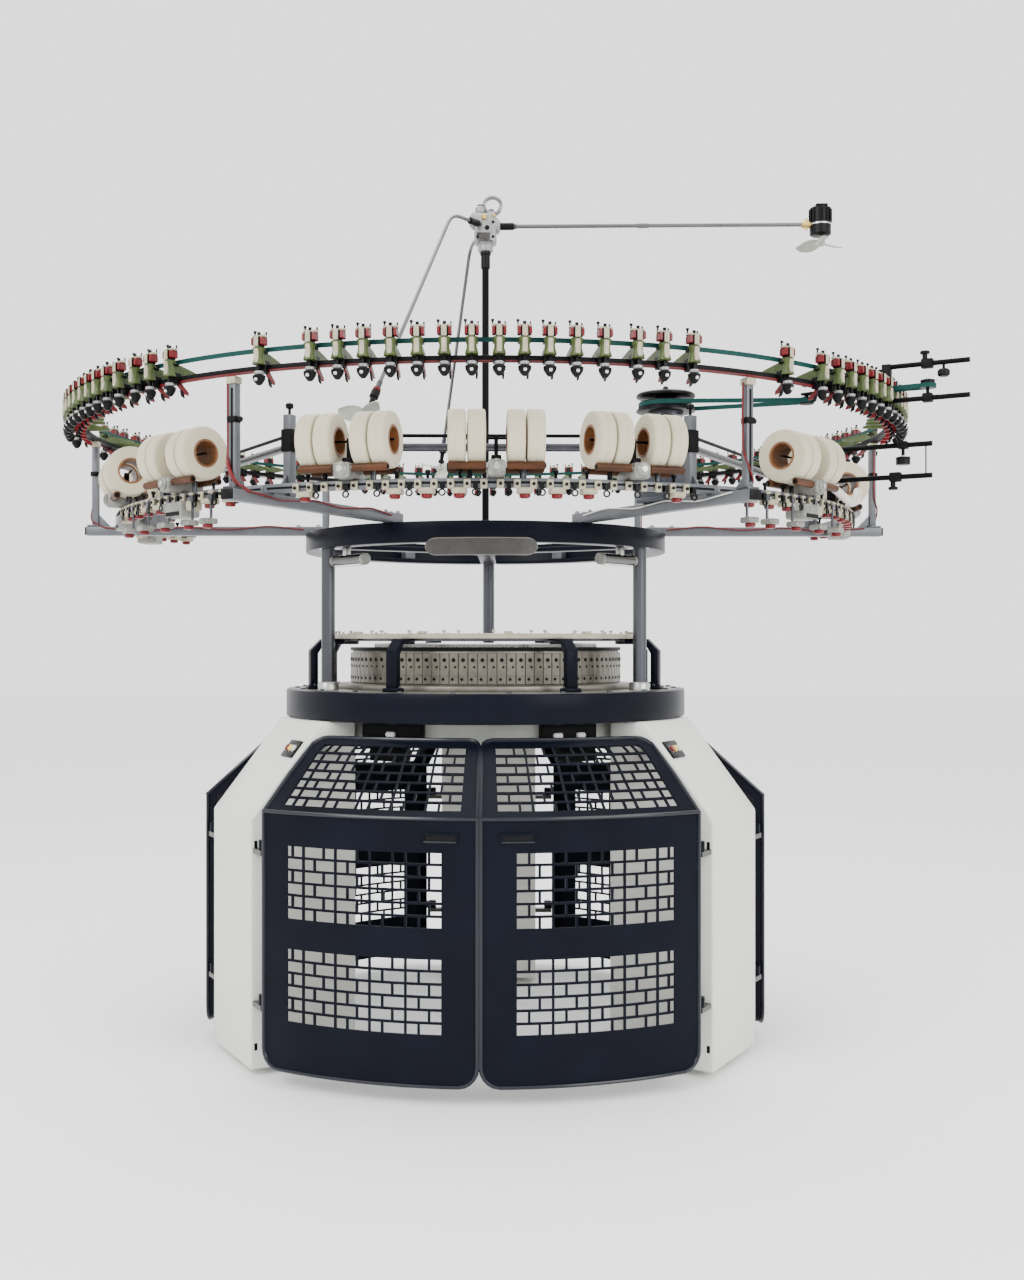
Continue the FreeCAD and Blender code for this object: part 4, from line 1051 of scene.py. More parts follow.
# ---- Positive feeders on their ring ----
def feeder():
    """One yarn feeder at the front of the ring."""
    c = FEEDER_CIRCLE
    parts = [
        front_block("beige_plastic", (-0.0185, 0.0185), (c - 0.012, c + 0.004), (2.0785, 2.0845), 0.0015, 1),
        front_block("beige_plastic", (-0.0068, 0.0068), (c - 0.010, c + 0.017), (2.0530, 2.0790), 0.002, 1),
        front_block("black_plastic", (-0.0090, 0.0090), (c - 0.012, c + 0.0145), (2.0545, 2.0785)),
        front_block("beige_plastic", (-0.0064, 0.0064), (c, c + 0.0175), (2.0120, 2.0500), 0.003, 1),
        upright_rod("black_plastic", 0, c, (2.084, 2.0915), 0.0045, 8),
        upright_rod("black_rod", -0.016, c - 0.006, (2.060, 2.093), 0.0022, 6),
        upright_rod("black_plastic", -0.016, c - 0.006, (2.092, 2.097), 0.0042, 8),
        upright_rod("black_rod", 0.015, c - 0.010, (2.060, 2.093), 0.0022, 6),
        aimed(turned_solid("green_plastic", [
            (0.0172, 0), (0.0165, 0.005), (0.0130, 0.016), (0.0128, 0.026), (0.0155, 0.038),
            (0.0165, 0.0415)], 14), (0, -c, 2.010), UP),
        front_block("black_plastic", (-0.015, 0.015), (1.352, c), (2.0385, 2.0445), 0.001, 1),
        front_block("black_plastic", (-0.0145, 0.0145), (1.3450, 1.364), (1.990, 2.021), 0.001, 1),
        aimed(turned_solid("blower_grey", [
            (0.0095, 0), (0.0125, 0.003), (0.0125, 0.009), (0.0095, 0.0105)], 14), (0, -c, 1.9830), UP),
        aimed(turned_solid("black_plastic", [
            (0.0050, 0), (0.0100, 0.005), (0.0160, 0.015), (0.0168, 0.0235), (0.0120, 0.0260)], 14),
            (0, -c, 1.9575), UP),
        radial_rod("white_plastic", 0, (c + 0.012, c + 0.0160), 1.9710, 0.0042, 10),
        front_block("black_plastic", (-0.0030, 0.0030), (c - 0.004, c + 0.004), (1.9925, 2.0100)),
    ]
    for x in (-0.0132, 0.0132):
        parts.append(front_block("red_plastic", (x - 0.0045, x + 0.0045), (c - 0.014, c + 0.012),
                                 (2.0580, 2.0770), 0.002, 1))
    wedge = radial_plate("green_plastic", [
        (1.366, 2.0155), (1.366, 2.046), (1.345, 2.044), (1.300, 2.034), (1.262, 2.024), (1.262, 2.0175)],
        0.013)
    lever = radial_plate("red_plastic", [
        (1.352, 2.004), (1.354, 1.986), (1.334, 1.968), (1.318, 1.966), (1.320, 1.974), (1.334, 1.986)], 0.006)
    hook = radial_plate("black_plastic", [
        (1.346, 1.976), (1.342, 1.962), (1.332, 1.957), (1.333, 1.962), (1.338, 1.974)], 0.005)
    aside = Matrix.Translation((0.011, 0, 0))
    return joined(parts + [wedge, moved(lever, aside), moved(hook, aside)], "feeder")


def make_feeders(sizes):
    one = feeder()
    smooth(one)
    half_span = 180 / len(SECTORS)
    steps = 24  # flat steps in a sector
    for k, name in enumerate(SECTORS):
        middle = around(2 * half_span * k)
        span = (middle - half_span, middle + half_span)
        parts = [arc_bar("black_iron", (RING_IN, RING_OUT), (RING_BOTTOM + 0.004, RING_TOP - 0.004),
                         span, steps, 0.002)]
        for low in (RING_BOTTOM - 0.0010, RING_BOTTOM + 0.0030):
            parts.append(arc_bar("red_wire", (RING_OUT - 0.001, RING_OUT + 0.0015), (low, low + 0.0025),
                                 span, steps))
        parts += spread(one, [turn_about_z(middle + a) for a in FEEDER_ANGLES], keep=True)
        finished(joined(parts, "feeder_bank_" + name), "frame", ["feeder_ring_" + name])
    bpy.data.objects.remove(one)


# ---- Belts ----
def feeder_belt():
    """Loop round the ring at the feeders' wheels, led out and back round the upper tension roller."""
    level, circle, roller = RING_TOP + 0.034, RING_OUT - 0.0015, 0.0229
    gap = math.degrees(0.0172 / circle)
    ring_steps, roller_steps = 140, 12
    path = [spot(circle, TENSION_ANGLE + gap + (360 - 2 * gap) * k / ring_steps, level)
            for k in range(ring_steps + 1)]
    centre = spot(TENSION_CIRCLE, TENSION_ANGLE, level)
    path += [centre + spot(roller, TENSION_ANGLE - 90 + 180 * k / roller_steps)
             for k in range(roller_steps + 1)]
    return strap(path, 0.012, 0.003)


def drive_belt(level):
    """Loop from the pulley to a small wheel under the ring, narrower at the wheel."""
    pulley_radius, wheel_radius, arc_steps = 0.0759, 0.0189, 16
    pulley, wheel = spot(DRIVE_CIRCLE, DRIVE_ANGLE, level), spot(*FAR_WHEEL, level)
    heading, distance = math.atan2(wheel.y - pulley.y, wheel.x - pulley.x), (wheel - pulley).length
    lean = math.asin((pulley_radius - wheel_radius) / distance)
    loop = []
    for middle, radius, first, sweep in (
            (pulley, pulley_radius, heading + math.pi / 2 - lean, math.pi + 2 * lean),
            (wheel, wheel_radius, heading - math.pi / 2 + lean, math.pi - 2 * lean)):
        for k in range(arc_steps + 1):
            a = first + sweep * k / arc_steps
            loop.append(middle + Vector((math.cos(a), math.sin(a), 0)) * radius)
    return strap(loop, 0.012, 0.003)


def make_belts(sizes):
    level = 1.979
    parts = [feeder_belt(), drive_belt(level)]
    wheel = turned_solid("black_plastic", [
        (0.019, level - 0.009), (0.021, level - 0.0075), (0.0172, level - 0.0065), (0.0172, level + 0.0065),
        (0.021, level + 0.0075), (0.019, level + 0.009), (0.006, level + 0.0095), (0.006, RING_BOTTOM + 0.005)],
        24)
    parts.append(moved(wheel, Matrix.Translation(spot(*FAR_WHEEL))))
    hanger = front_block("black_iron", (-0.012, 0.012), (FAR_WHEEL[0] - 0.012, RING_IN + 0.004),
                         (RING_BOTTOM - 0.0005, RING_BOTTOM + 0.006), 0.001)
    parts.append(moved(hanger, turn_about_z(FAR_WHEEL[1])))
    finished(joined(parts, "toothed_belts"), "frame", ["feeder_belts"])


# ---- Elastane unwinders ----
def spool():
    """Bobbin of yarn about the X axis: wound yarn with rounded edges on a brown core."""
    half, radius, core_radius = 0.023, 0.0748, 0.0392
    yarn = turned_hoop("wound_yarn", [
        (0.039, -half), (0.066, -half), (0.0715, -half + 0.0012), (0.0742, -half + 0.0045),
        (radius, -half + 0.009), (radius, -0.0022), (0.0736, 0), (radius, 0.0022), (radius, half - 0.009),
        (0.0742, half - 0.0045), (0.0715, half - 0.0012), (0.066, half), (0.039, half)], 48)
    winding = yarn.data.uv_layers.new(name="winding")
    for loop in yarn.data.loops:
        x, y, z = yarn.data.vertices[loop.vertex_index].co
        winding.data[loop.index].uv = (math.atan2(y, x) / (2 * math.pi), (z + math.hypot(x, y)) * 6)
    core = square_hoop("core_brown", (0.0335, core_radius), (-half - 0.0012, half + 0.0012), 40)
    return moved(joined([yarn, core], "spool"), Matrix.Rotation(math.pi / 2, 4, "Y"))


def unwinder(boxed):
    """Gear head with its rollers and the bobbins that rest on them. A boxed one has a box under the rail."""
    c = RAIL_CIRCLE
    axis = RAIL_TOP + 0.102
    roller, bobbin, roller_gap = 0.0105, 0.075, 0.042
    level = axis - math.sqrt((bobbin + roller) ** 2 - roller_gap ** 2)
    gear = RAIL_TOP + 0.024
    parts = [
        front_block("cast_grey", (-0.023, 0.023), (c - 0.060, c + 0.060), (RAIL_TOP + 0.0002, RAIL_TOP + 0.042),
                    0.008, 3),
        radial_rod("cast_grey", 0, (c + 0.045, c + 0.068), gear, 0.019, 24, 0.005),
        radial_rod("bright_steel", 0, (c + 0.067, c + 0.072), gear, 0.009, 16, 0.002),
        front_block("black_iron", (-0.013, 0.013), (c - 0.020, c + 0.020), (RAIL_TOP + 0.040, RAIL_TOP + 0.058),
                    0.003),
        front_block("black_iron", (-0.005, 0.005), (c - 0.008, c + 0.008), (RAIL_TOP + 0.055, axis + 0.008),
                    0.002),
        cross_rod("black_rod", (-0.125, 0.125), c, axis, 0.0032, 10, 0.0008),
        upright_rod("dark_steel", 0.068, c, (RAIL_TOP - 0.001, RAIL_TOP + 0.030), 0.008, 12, 0.002),
        upright_rod("black_plastic", -0.068, c, (RAIL_TOP - 0.001, RAIL_TOP + 0.022), 0.007, 12, 0.002),
    ]
    for side in (-1, 1):
        circle = c + side * roller_gap
        for end in (-1, 1):
            parts += [
                cross_rod("roller_brown", (end * 0.026, end * 0.124), circle, level, roller - 0.0002, 18,
                          0.0015),
                cross_rod("bright_steel", (end * 0.020, end * 0.027), circle, level, 0.007, 12),
                cross_rod("black_iron", (end * 0.123, end * 0.1265), circle, level, 0.006, 10),
            ]
    if boxed:
        top = ARM_TOP - 0.0005
        parts += [
            front_block("cast_grey", (-0.044, 0.044), (c - 0.034, c + 0.030), (ARM_TOP - 0.046, top), 0.007, 2),
            front_block("black_iron", (-0.034, 0.034), (c + 0.029, c + 0.032),
                        (ARM_TOP - 0.041, ARM_TOP - 0.030)),
            front_block("beige_plastic", (0.050, 0.086), (c - 0.014, c + 0.020), (ARM_TOP - 0.030, top),
                        0.004, 1),
            front_block("cast_grey", (-0.084, -0.050), (c - 0.010, c + 0.022), (ARM_TOP - 0.024, top),
                        0.004, 1),
        ]
    seats = [Matrix.Translation((x, -c, axis + 0.0003)) for x in (-0.101, -0.0505, 0.0505, 0.101)]
    parts += spread(spool(), seats)
    return joined(parts, "unwinder")


def sensor(low):
    """Stop-motion box with its red disc: close under the rail, or lower on a stalk."""
    c = RAIL_CIRCLE
    top = 1.646 if low else ARM_TOP - 0.0003
    reach = c + 0.034 if low else c + 0.004
    parts = [
        front_block("cast_grey" if low else "beige_plastic", (-0.020, 0.020), (reach - 0.022, reach + 0.018),
                    (top - 0.016, top), 0.004, 1),
        aimed(turned_solid("red_plastic", [(0.011, 0), (0.0145, 0.003), (0.0145, 0.009), (0.012, 0.0115)], 14),
              (0, -reach, top - 0.027), UP),
    ]
    if low:
        parts += [
            upright_rod("dark_steel", 0, c + 0.022, (top - 0.002, ARM_TOP - 0.002), 0.004, 8),
            front_block("dark_steel", (-0.008, 0.008), (c + 0.008, c + 0.028),
                        (ARM_TOP - 0.006, ARM_TOP + 0.010), 0.001, 1),
        ]
    else:
        parts += [
            upright_rod("black_rod", 0, c - 0.010, (RAIL_TOP - 0.0005, RAIL_TOP + 0.016), 0.0042, 8),
            upright_rod("black_plastic", 0, c - 0.010, (RAIL_TOP + 0.015, RAIL_TOP + 0.024), 0.0075, 8, 0.002),
        ]
    return joined(parts, "sensor")


def guide_finger():
    """Black yarn finger with a loop, at a rail's lower edge."""
    c = RAIL_CIRCLE
    block = front_block("black_plastic", (-0.006, 0.006), (c + 0.010, c + 0.026), (1.700, 1.716), 0.001, 1)
    eye = square_hoop("black_plastic", (0.006, 0.010), (0, 0.004), 10)
    return joined([block, aimed(eye, (0, -c - 0.022, 1.690), (0, -1, 0))], "finger")


def rail_clip():
    """Beige clip with its dark screw, on a rail's face."""
    c = RAIL_CIRCLE
    clip = front_block("beige_plastic", (-0.009, 0.009), (c + 0.0125, c + 0.022),
                       (ARM_TOP - 0.004, RAIL_TOP - 0.004), 0.002, 1)
    screw = radial_rod("black_plastic", 0, (c + 0.0215, c + 0.026), ARM_TOP + 0.008, 0.0045, 8)
    return joined([clip, screw], "clip")


def curled_tube():
    """White tube that hangs in a curl from the right bank: circle, angle and height of each point."""
    curl = [(1.222, 57.0, 1.772), (1.236, 61.0, 1.742), (1.240, 65.5, 1.732), (1.240, 69.5, 1.748),
            (1.238, 71.5, 1.782)]
    return bent_tube("white_plastic", [spot(*place) for place in curl], 0.0125, 0.018, 12)


def clear_of(angles, others, gap):
    """Those angles that keep a gap to all of the others."""
    return [a for a in angles if all(abs(a - b) > gap for b in others)]


def make_unwinders(sizes):
    kinds = [unwinder(False), unwinder(True), sensor(False), sensor(True), guide_finger(), rail_clip()]
    for piece in kinds:
        smooth(piece)
    unit, boxed_unit, tip, low_tip, finger, clip = kinds
    pitch, arm_gap, unit_gap = 4, 2.5, 3.0  # degrees between the clips' places, and kept to arms and units
    near, far = RAIL_CIRCLE - RAIL_HALF, RAIL_CIRCLE + RAIL_HALF
    for name, units in UNIT_SETS.items():
        first, last = RAIL_ENDS[name]
        steps = int((last - first) / 3)
        arms = [a for a in (around(v) for v in ARM_ANGLES.values()) if first <= a <= last]
        clear = clear_of(range(int(first) + 2, int(last) - 1, pitch), arms, arm_gap)
        fingers = clear_of([a + 2 for a in clear], arms, arm_gap)
        parts = [
            arc_bar("grey_paint", (near, far), (ARM_TOP, RAIL_TOP), (first, last), steps, 0.002),
            arc_bar("black_iron", (far - 0.0003, far + 0.0008), (ARM_TOP + 0.009, ARM_TOP + 0.015),
                    (first + 0.5, last - 0.5), steps),
        ]
        for piece, angles in (
                (unit if name == "front" else boxed_unit, units), (tip, clear_of(clear, units, unit_gap)),
                (clip, [a + 1 for a in clear] + [a - 1 for a in clear]),
                (low_tip, [a for a in LOW_SENSORS if first < a < last]), (finger, fingers)):
            parts += spread(piece, [turn_about_z(a) for a in angles], keep=True)
        if name == "right":
            parts.append(curled_tube())
        finished(joined(parts, "unwinder_set_" + name), "frame", ["unwinder_bank_" + name])
    for piece in kinds:
        bpy.data.objects.remove(piece)


# ---- Drive gearbox and pulley ----
def make_gearbox():
    c, low = DRIVE_CIRCLE, ARM_TOP + 0.0002
    parts = [
        front_block("drive_grey", (-0.052, 0.052), (c - 0.060, c + 0.060), (low, ARM_TOP + 0.140), 0.006, 3),
        front_block("drive_grey", (-0.056, 0.056), (c - 0.064, c + 0.064), (low, ARM_TOP + 0.014), 0.003),
        front_block("drive_grey", (-0.044, 0.044), (c + 0.055, c + 0.068), (ARM_TOP + 0.030, ARM_TOP + 0.120),
                    0.004),
        aimed(turned_solid("drive_grey", [
            (0.044, 0), (0.044, 0.010), (0.030, 0.022), (0.024, 0.060), (0.024, 0.1015)], 36),
            (0, -c, ARM_TOP + 0.140), UP),
        front_block("drive_grey", (-0.078, -0.050), (c - 0.030, c + 0.030), (ARM_TOP + 0.040, ARM_TOP + 0.100),
                    0.006),
        upright_rod("brass", -0.062, c, (ARM_TOP + 0.099, ARM_TOP + 0.112), 0.008, 16, 0.002),
    ]
    for x in (-0.034, 0.034):
        for z in (ARM_TOP + 0.042, ARM_TOP + 0.108):
            parts.append(radial_rod("bright_steel", x, (c + 0.067, c + 0.073), z, 0.006, 6))
    gearbox = moved(joined(parts, "gearbox_case"), turn_about_z(DRIVE_ANGLE))
    finished(gearbox, "frame", ["drive_gearbox"])


def make_pulley():
    low, high = 1.946, 2.012
    flange, groove, boss = 0.083, 0.074, 0.030
    parts = [
        turned_solid("dark_steel", [(0.046, low), (0.050, low + 0.002), (0.050, low + 0.014)], 48),
        turned_solid("black_plastic", [
            (0.078, low + 0.0135), (flange, low + 0.0150), (flange, low + 0.0200), (groove, low + 0.0220),
            (groove, low + 0.0420), (boss, low + 0.0425), (boss, high - 0.012)], 64),
        turned_solid("black_plastic", [
            (0.078, high - 0.0125), (flange, high - 0.010), (flange, high - 0.004), (0.078, high), (boss, high),
            (0.026, high + 0.004), (0.010, high + 0.005), (0.008, high + 0.018), (0.004, high + 0.022)], 64),
    ]
    screw = rod("bright_steel", (0.052, 0, high - 0.0005), (0.052, 0, high + 0.003), 0.006, 6)
    parts += spread(screw, [turn_about_z(a) for a in THIRDS])
    pulley = moved(joined(parts, "drive_wheel"), Matrix.Translation(spot(DRIVE_CIRCLE, DRIVE_ANGLE)))
    finished(pulley, "pulley", ["drive_pulley"])


def make_drive(sizes):
    make_gearbox()
    make_pulley()


# ---- Belt tensioners ----
def tension_bars(upper, begin, foot, end, levels, circle, middle):
    """Post with two level bars, a clamp knob, and a stand that holds the roller by its middle height."""
    low_bar, high_bar = levels
    parts = [front_block("black_iron", (-0.012, 0.012), (begin, begin + 0.026), (foot, high_bar + 0.008),
                         0.002)]
    for z in levels:
        parts.append(radial_rod("black_rod", 0, (begin + 0.002, end - 0.002), z, 0.0076, 16, 0.001))
        parts.append(radial_rod("bright_steel", 0, (end - 0.0018, end), z, 0.0042, 12))
    # the knob stands on the upper pair's upper bar, or hangs under the lower pair's lower bar
    sign, z, knob = (1, high_bar, circle - 0.008) if upper else (-1, low_bar, circle - 0.029)
    parts += [
        front_block("black_iron", (-0.012, 0.012), (knob - 0.010, knob + 0.024), (z - 0.014, z + 0.014), 0.004),
        upright_rod("black_plastic", 0, knob, (z + sign * 0.012, z + sign * 0.030), 0.0075, 12),
        upright_rod("black_plastic", 0, knob, (z + sign * 0.028, z + sign * 0.037), 0.0140, 16, 0.002),
    ]
    # the roller's stand rises from the upper pair's lower bar, or hangs from the lower pair's upper bar
    if upper:
        wheel = circle + 0.045
        stand, stem = (low_bar - 0.012, low_bar + 0.014), (low_bar + 0.012, middle - 0.0125)
        parts += [
            upright_rod("black_rod", 0, wheel, (high_bar - 0.022, high_bar), 0.004, 10),
            upright_rod("black_plastic", 0, wheel, (high_bar - 0.042, high_bar - 0.020), 0.0175, 24, 0.005),
        ]
    else:
        stand, stem = (high_bar - 0.011, high_bar + 0.011), (middle + 0.0168, high_bar - 0.010)
        parts.append(upright_rod("tube_steel", 0, end - 0.020, levels, 0.0025, 8))
    parts.append(front_block("black_iron", (-0.013, 0.013), (circle - 0.014, circle + 0.014), stand, 0.003))
    parts.append(upright_rod("black_iron", 0, circle, stem, 0.005, 16))
    return parts


def tension_roller(low):
    waist, lip = 0.0204, 0.0210
    wheel = turned_solid("black_plastic", [
        (0.014, low), (0.0205, low + 0.001), (lip, low + 0.003), (waist, low + 0.005), (waist, low + 0.019),
        (lip, low + 0.021), (0.0205, low + 0.023), (0.010, low + 0.024)], 40)
    cap = turned_solid("bright_steel", [
        (0.0070, low + 0.0235), (0.0070, low + 0.0275), (0.0055, low + 0.0285)], 20)
    return [wheel, cap]


def make_tensioners(sizes):
    for name, begin, foot, end, levels, circle, middle in (
            ("upper", RING_OUT + 0.0003, 1.990, 1.600, (2.016, 2.116), TENSION_CIRCLE, 2.057),
            ("lower", RAIL_CIRCLE - RAIL_HALF, RAIL_TOP + 0.0003, 1.495, (1.792, 1.884), 1.410, 1.838)):
        bars = joined(tension_bars(name == "upper", begin, foot, end, levels, circle, middle),
                      "tension_bars_" + name)
        finished(moved(bars, turn_about_z(TENSION_ANGLE)), "frame",
                 ["belt_tensioner_" + name])
        roller = joined(tension_roller(middle - 0.012), "tension_wheel_" + name)
        moved(roller, Matrix.Translation(spot(circle, TENSION_ANGLE)))
        finished(roller, name + "_roller", ["tension_roller_" + name])


# ---- Mast and blower ----
def fan():
    """Propeller about Z: hub with three wide pitched blades."""
    hub = turned_solid("fan_plastic", [
        (0.014, 0), (0.016, 0.002), (0.016, 0.016), (0.011, 0.021), (0.005, 0.022)], 28)
    root, length, mid_height = 0.012, 0.078, 0.011
    start()
    bpy.ops.mesh.primitive_grid_add(x_subdivisions=8, y_subdivisions=10, size=1)
    blade = settle("fan_plastic")
    for vertex in blade.data.vertices:
        across, reach = vertex.co.x, vertex.co.y + 0.5
        radius = root + reach * length - 0.012 * (2 * across) ** 2 * reach
        width = 0.020 + 0.034 * math.sin(math.pi * (0.12 + 0.80 * reach)) ** 0.8
        x = across * width + 0.010 * reach
        pitch = math.radians(34 - 16 * reach)
        cupped = 0.02 * across ** 2 * reach
        vertex.co = (x * math.cos(pitch), -radius, mid_height + x * math.sin(pitch) + cupped)
    modified(blade, "SOLIDIFY", thickness=0.0022, offset=0.0)
    return joined([hub] + spread(blade, [turn_about_z(a) for a in THIRDS]), "fan")


def make_mast():
    low = 1.641
    parts = [
        turned_solid("black_rod", [(MAST_RADIUS, low), (MAST_RADIUS, MAST_TOP)], 24),
        turned_solid("black_plastic", [
            (0.030, low + 0.0001), (0.030, 1.650), (0.021, 1.664), (0.017, 1.712), (0.0125, 1.716)], 28),
        turned_solid("black_plastic", [
            (0.0130, 2.590), (0.0160, 2.594), (0.0160, 2.636), (0.0190, 2.640), (0.0190, MAST_TOP)], 24),
    ]
    for x in (-0.052, 0.052):
        parts.append(upright_rod("black_rod", x, 0.02, (CROWN_BOTTOM + 0.014, 1.700), 0.006, 12, 0.001))
    finished(joined(parts, "mast_rod"), "frame", ["mast"])


def make_blower_head():
    """Cast head with two round flanks, caps, fittings, a plate with four screws and a lifting eye."""
    low = HEAD_BOTTOM
    head = [
        turned_solid("blower_grey", [(0.020, low), (0.0264, low + 0.003), (0.0264, low + 0.021),
                                     (0.033, low + 0.030)], 28),
        box("blower_grey", (-0.038, -0.030, low + 0.024), (0.038, 0.030, low + 0.130), 0.012, 3),
        cross_rod("blower_grey", (-0.050, -0.006), 0.006, low + 0.106, 0.030, 28, 0.007),
        cross_rod("blower_grey", (0.006, 0.050), 0, low + 0.089, 0.027, 28, 0.007),
        cross_rod("plate_grey", (-0.053, -0.049), 0.006, low + 0.106, 0.020, 24, 0.001),
        upright_rod("blower_grey", -0.018, 0.004, (low + 0.128, low + 0.156), 0.018, 24, 0.006),
        upright_rod("black_plastic", -0.018, 0.004, (low + 0.155, low + 0.162), 0.011, 20, 0.002),
        upright_rod("blower_grey", 0.020, 0, (low + 0.122, low + 0.140), 0.016, 24, 0.003),
        upright_rod("black_plastic", 0.020, 0, (low + 0.139, low + 0.146), 0.010, 20, 0.001),
        radial_rod("brass", -0.004, (0.029, 0.038), low + 0.112, 0.009, 16, 0.002),
        radial_rod("brass", 0.030, (0.028, 0.035), low + 0.118, 0.006, 6, 0.001),
        radial_rod("black_plastic", 0.006, (0.029, 0.036), low + 0.076, 0.008, 16, 0.002),
        box("plate_grey", (-0.030, -0.0325, low + 0.036), (0.016, -0.0290, low + 0.060), 0.001),
        upright_rod("plate_grey", 0, 0, (low + 0.0295, low + 0.0335), 0.0385, 32, 0.001),
    ]
    eye = turned_hoop("tube_steel", [(0.0230, -0.005), (0.0290, -0.008), (0.0350, -0.005), (0.0350, 0.005),
                                     (0.0290, 0.008), (0.0230, 0.005)], 32)
    head.append(aimed(eye, (0.024, 0, low + 0.159), (0, 1, 0)))
    for z in (low + 0.045, low + 0.095):
        for x in (-0.027, 0.027):
            head.append(radial_rod("black_plastic", x, (0.0295, 0.035), z, 0.0050, 6))
    finished(joined(head, "blower_head_casting"), "blower", ["blower_head"])


def make_long_arm(blades):
    """Level arm with a finned motor at its end and a propeller under the motor."""
    level, axis = BLOWER_LEVEL, 1.112 + 0.036 * 0.9
    low, fin_count = level - 0.0384, 16  # underside of the motor, fins round it
    aside, sleeve = turn_about_z(90), (level + 0.057, level + 0.064)
    parts = [
        radial_rod("tube_steel", 0, (0.048, 1.113), level, 0.007, 20),
        radial_rod("black_plastic", 0, (0.048, 0.098), level, 0.0125, 20, 0.002),
        radial_rod("plate_grey", 0, (0.096, 0.106), level, 0.0095, 20, 0.001),
        radial_rod("tube_steel", 0, (0.520, 0.560), level, 0.0085, 20, 0.001),
        radial_rod("brass", 0, (1.080, 1.112), level, 0.012, 20, 0.003),
        upright_rod("brass", 0, 1.096, (level - 0.020, level + 0.022), 0.005, 12, 0.001),
        front_block("black_iron", (-0.030, 0.030), (axis - 0.020, axis + 0.020), sleeve, 0.002),
        aimed(turned_solid("black_plastic", [(0.030, 0), (0.036, 0.004), (0.036, 0.092), (0.030, 0.096)], 32),
              (0, -axis, low), UP),
        aimed(turned_solid("bright_steel", [(0.004, 0), (0.004, 0.016)], 12), (0, -axis, low - 0.014), UP),
        aimed(turned_solid("bright_steel", [(0.0365, 0), (0.0365, 0.005)], 32), (0, -axis, low + 0.034), UP),
    ]
    for k in range(fin_count):
        fin = box("black_plastic", (0.0355, -0.0012, low + 0.044), (0.0395, 0.0012, low + 0.088))
        parts.append(moved(fin, Matrix.Translation((0, -axis, 0)) @ turn_about_z(360 / fin_count * k)))
    finished(moved(joined(parts, "blower_tube_long"), aside), "blower", ["blower_arm_long"])
    hung = Matrix.Translation((0, -axis, low - 0.0143)) @ Matrix.Rotation(math.pi, 4, "X") @ turn_about_z(30)
    piece = finished(moved(copied(blades, hung), aside), "fan_long", ["propeller_long"])
    piece.name = "fan_blades_long"


def make_bent_arm(name, angle, blades):
    """Arm that runs out level and then slopes down to a small motor with its propeller."""
    root, bend = Vector((0, -0.0225, BLOWER_LEVEL)), Vector((0, -0.215, BLOWER_LEVEL - 0.014))
    end = Vector((0, -0.640, 2.072))
    slope = (end - bend).normalized()
    fan_seat = 0.0853  # along the slope from the arm's end
    parts = [
        bent_tube("tube_steel", [root, bend, end + slope * 0.002], 0.0062, 0.045, 16),
        rod("black_plastic", root + (bend - root) * 0.14, root + (bend - root) * 0.42, 0.0115, 20, 0.002),
        rod("dark_steel", end - slope * 0.040, end - slope * 0.010, 0.0085, 16, 0.003),
        rod("red_plastic", end - slope * 0.012, end + slope * 0.001, 0.0125, 16, 0.003),
        aimed(turned_solid("black_plastic", [
            (0.010, 0), (0.0145, 0.004), (0.0145, 0.026), (0.009, 0.030), (0.007, 0.058), (0.012, 0.062),
            (0.012, 0.070)], 28), end, slope),
        aimed(turned_solid("bright_steel", [(0.004, 0), (0.004, 0.0165)], 12), end + slope * 0.0685, slope),
    ]
    arm = moved(joined(parts, "blower_tube_" + name), turn_about_z(angle))
    finished(arm, "blower", ["blower_arm_" + name])
    piece = moved(aimed(copied(blades, Matrix()), end + slope * fan_seat, slope), turn_about_z(angle))
    finished(piece, "fan_" + name, ["propeller_" + name])
    piece.name = "fan_blades_" + name


def make_blower(sizes):
    make_mast()
    make_blower_head()
    blades = fan()
    make_long_arm(blades)
    for name, angle in BENT_ARMS.items():
        make_bent_arm(name, angle, blades)
    bpy.data.objects.remove(blades)


# ---- Floor, light and camera ----
def make_floor():
    material = bpy.data.materials.new("pale_floor")
    material.use_nodes = True
    wire(material, material.node_tree.nodes["Principled BSDF"], {
        "Base Color": (0.92, 0.92, 0.92, 1), "Roughness": 0.75})
    start()
    bpy.ops.mesh.primitive_plane_add(size=60)
    floor = bpy.context.object
    floor.name = "floor"
    floor.data.materials.append(material)


def make_lights():
    world = bpy.data.worlds.new("soft_studio")
    world.use_nodes = True
    world.node_tree.nodes["Background"].inputs["Color"].default_value = (1, 1, 1, 1)
    world.node_tree.nodes["Background"].inputs["Strength"].default_value = 2.0
    bpy.context.scene.world = world
    target = Vector((0, 0, 1.2))
    for name, place, size, power in (
            ("key_light", (-3.2, -4.6, 4.6), 3.0, 240), ("fill_light", (3.6, -4.2, 3.2), 3.0, 150),
            ("top_light", (0.0, 0.5, 5.2), 4.0, 160)):
        bpy.ops.object.light_add(type="AREA", location=place)
        light = bpy.context.object
        light.name = name
        light.data.size = size
        light.data.energy = power
        light.rotation_euler = (target - Vector(place)).to_track_quat("-Z", "Y").to_euler()


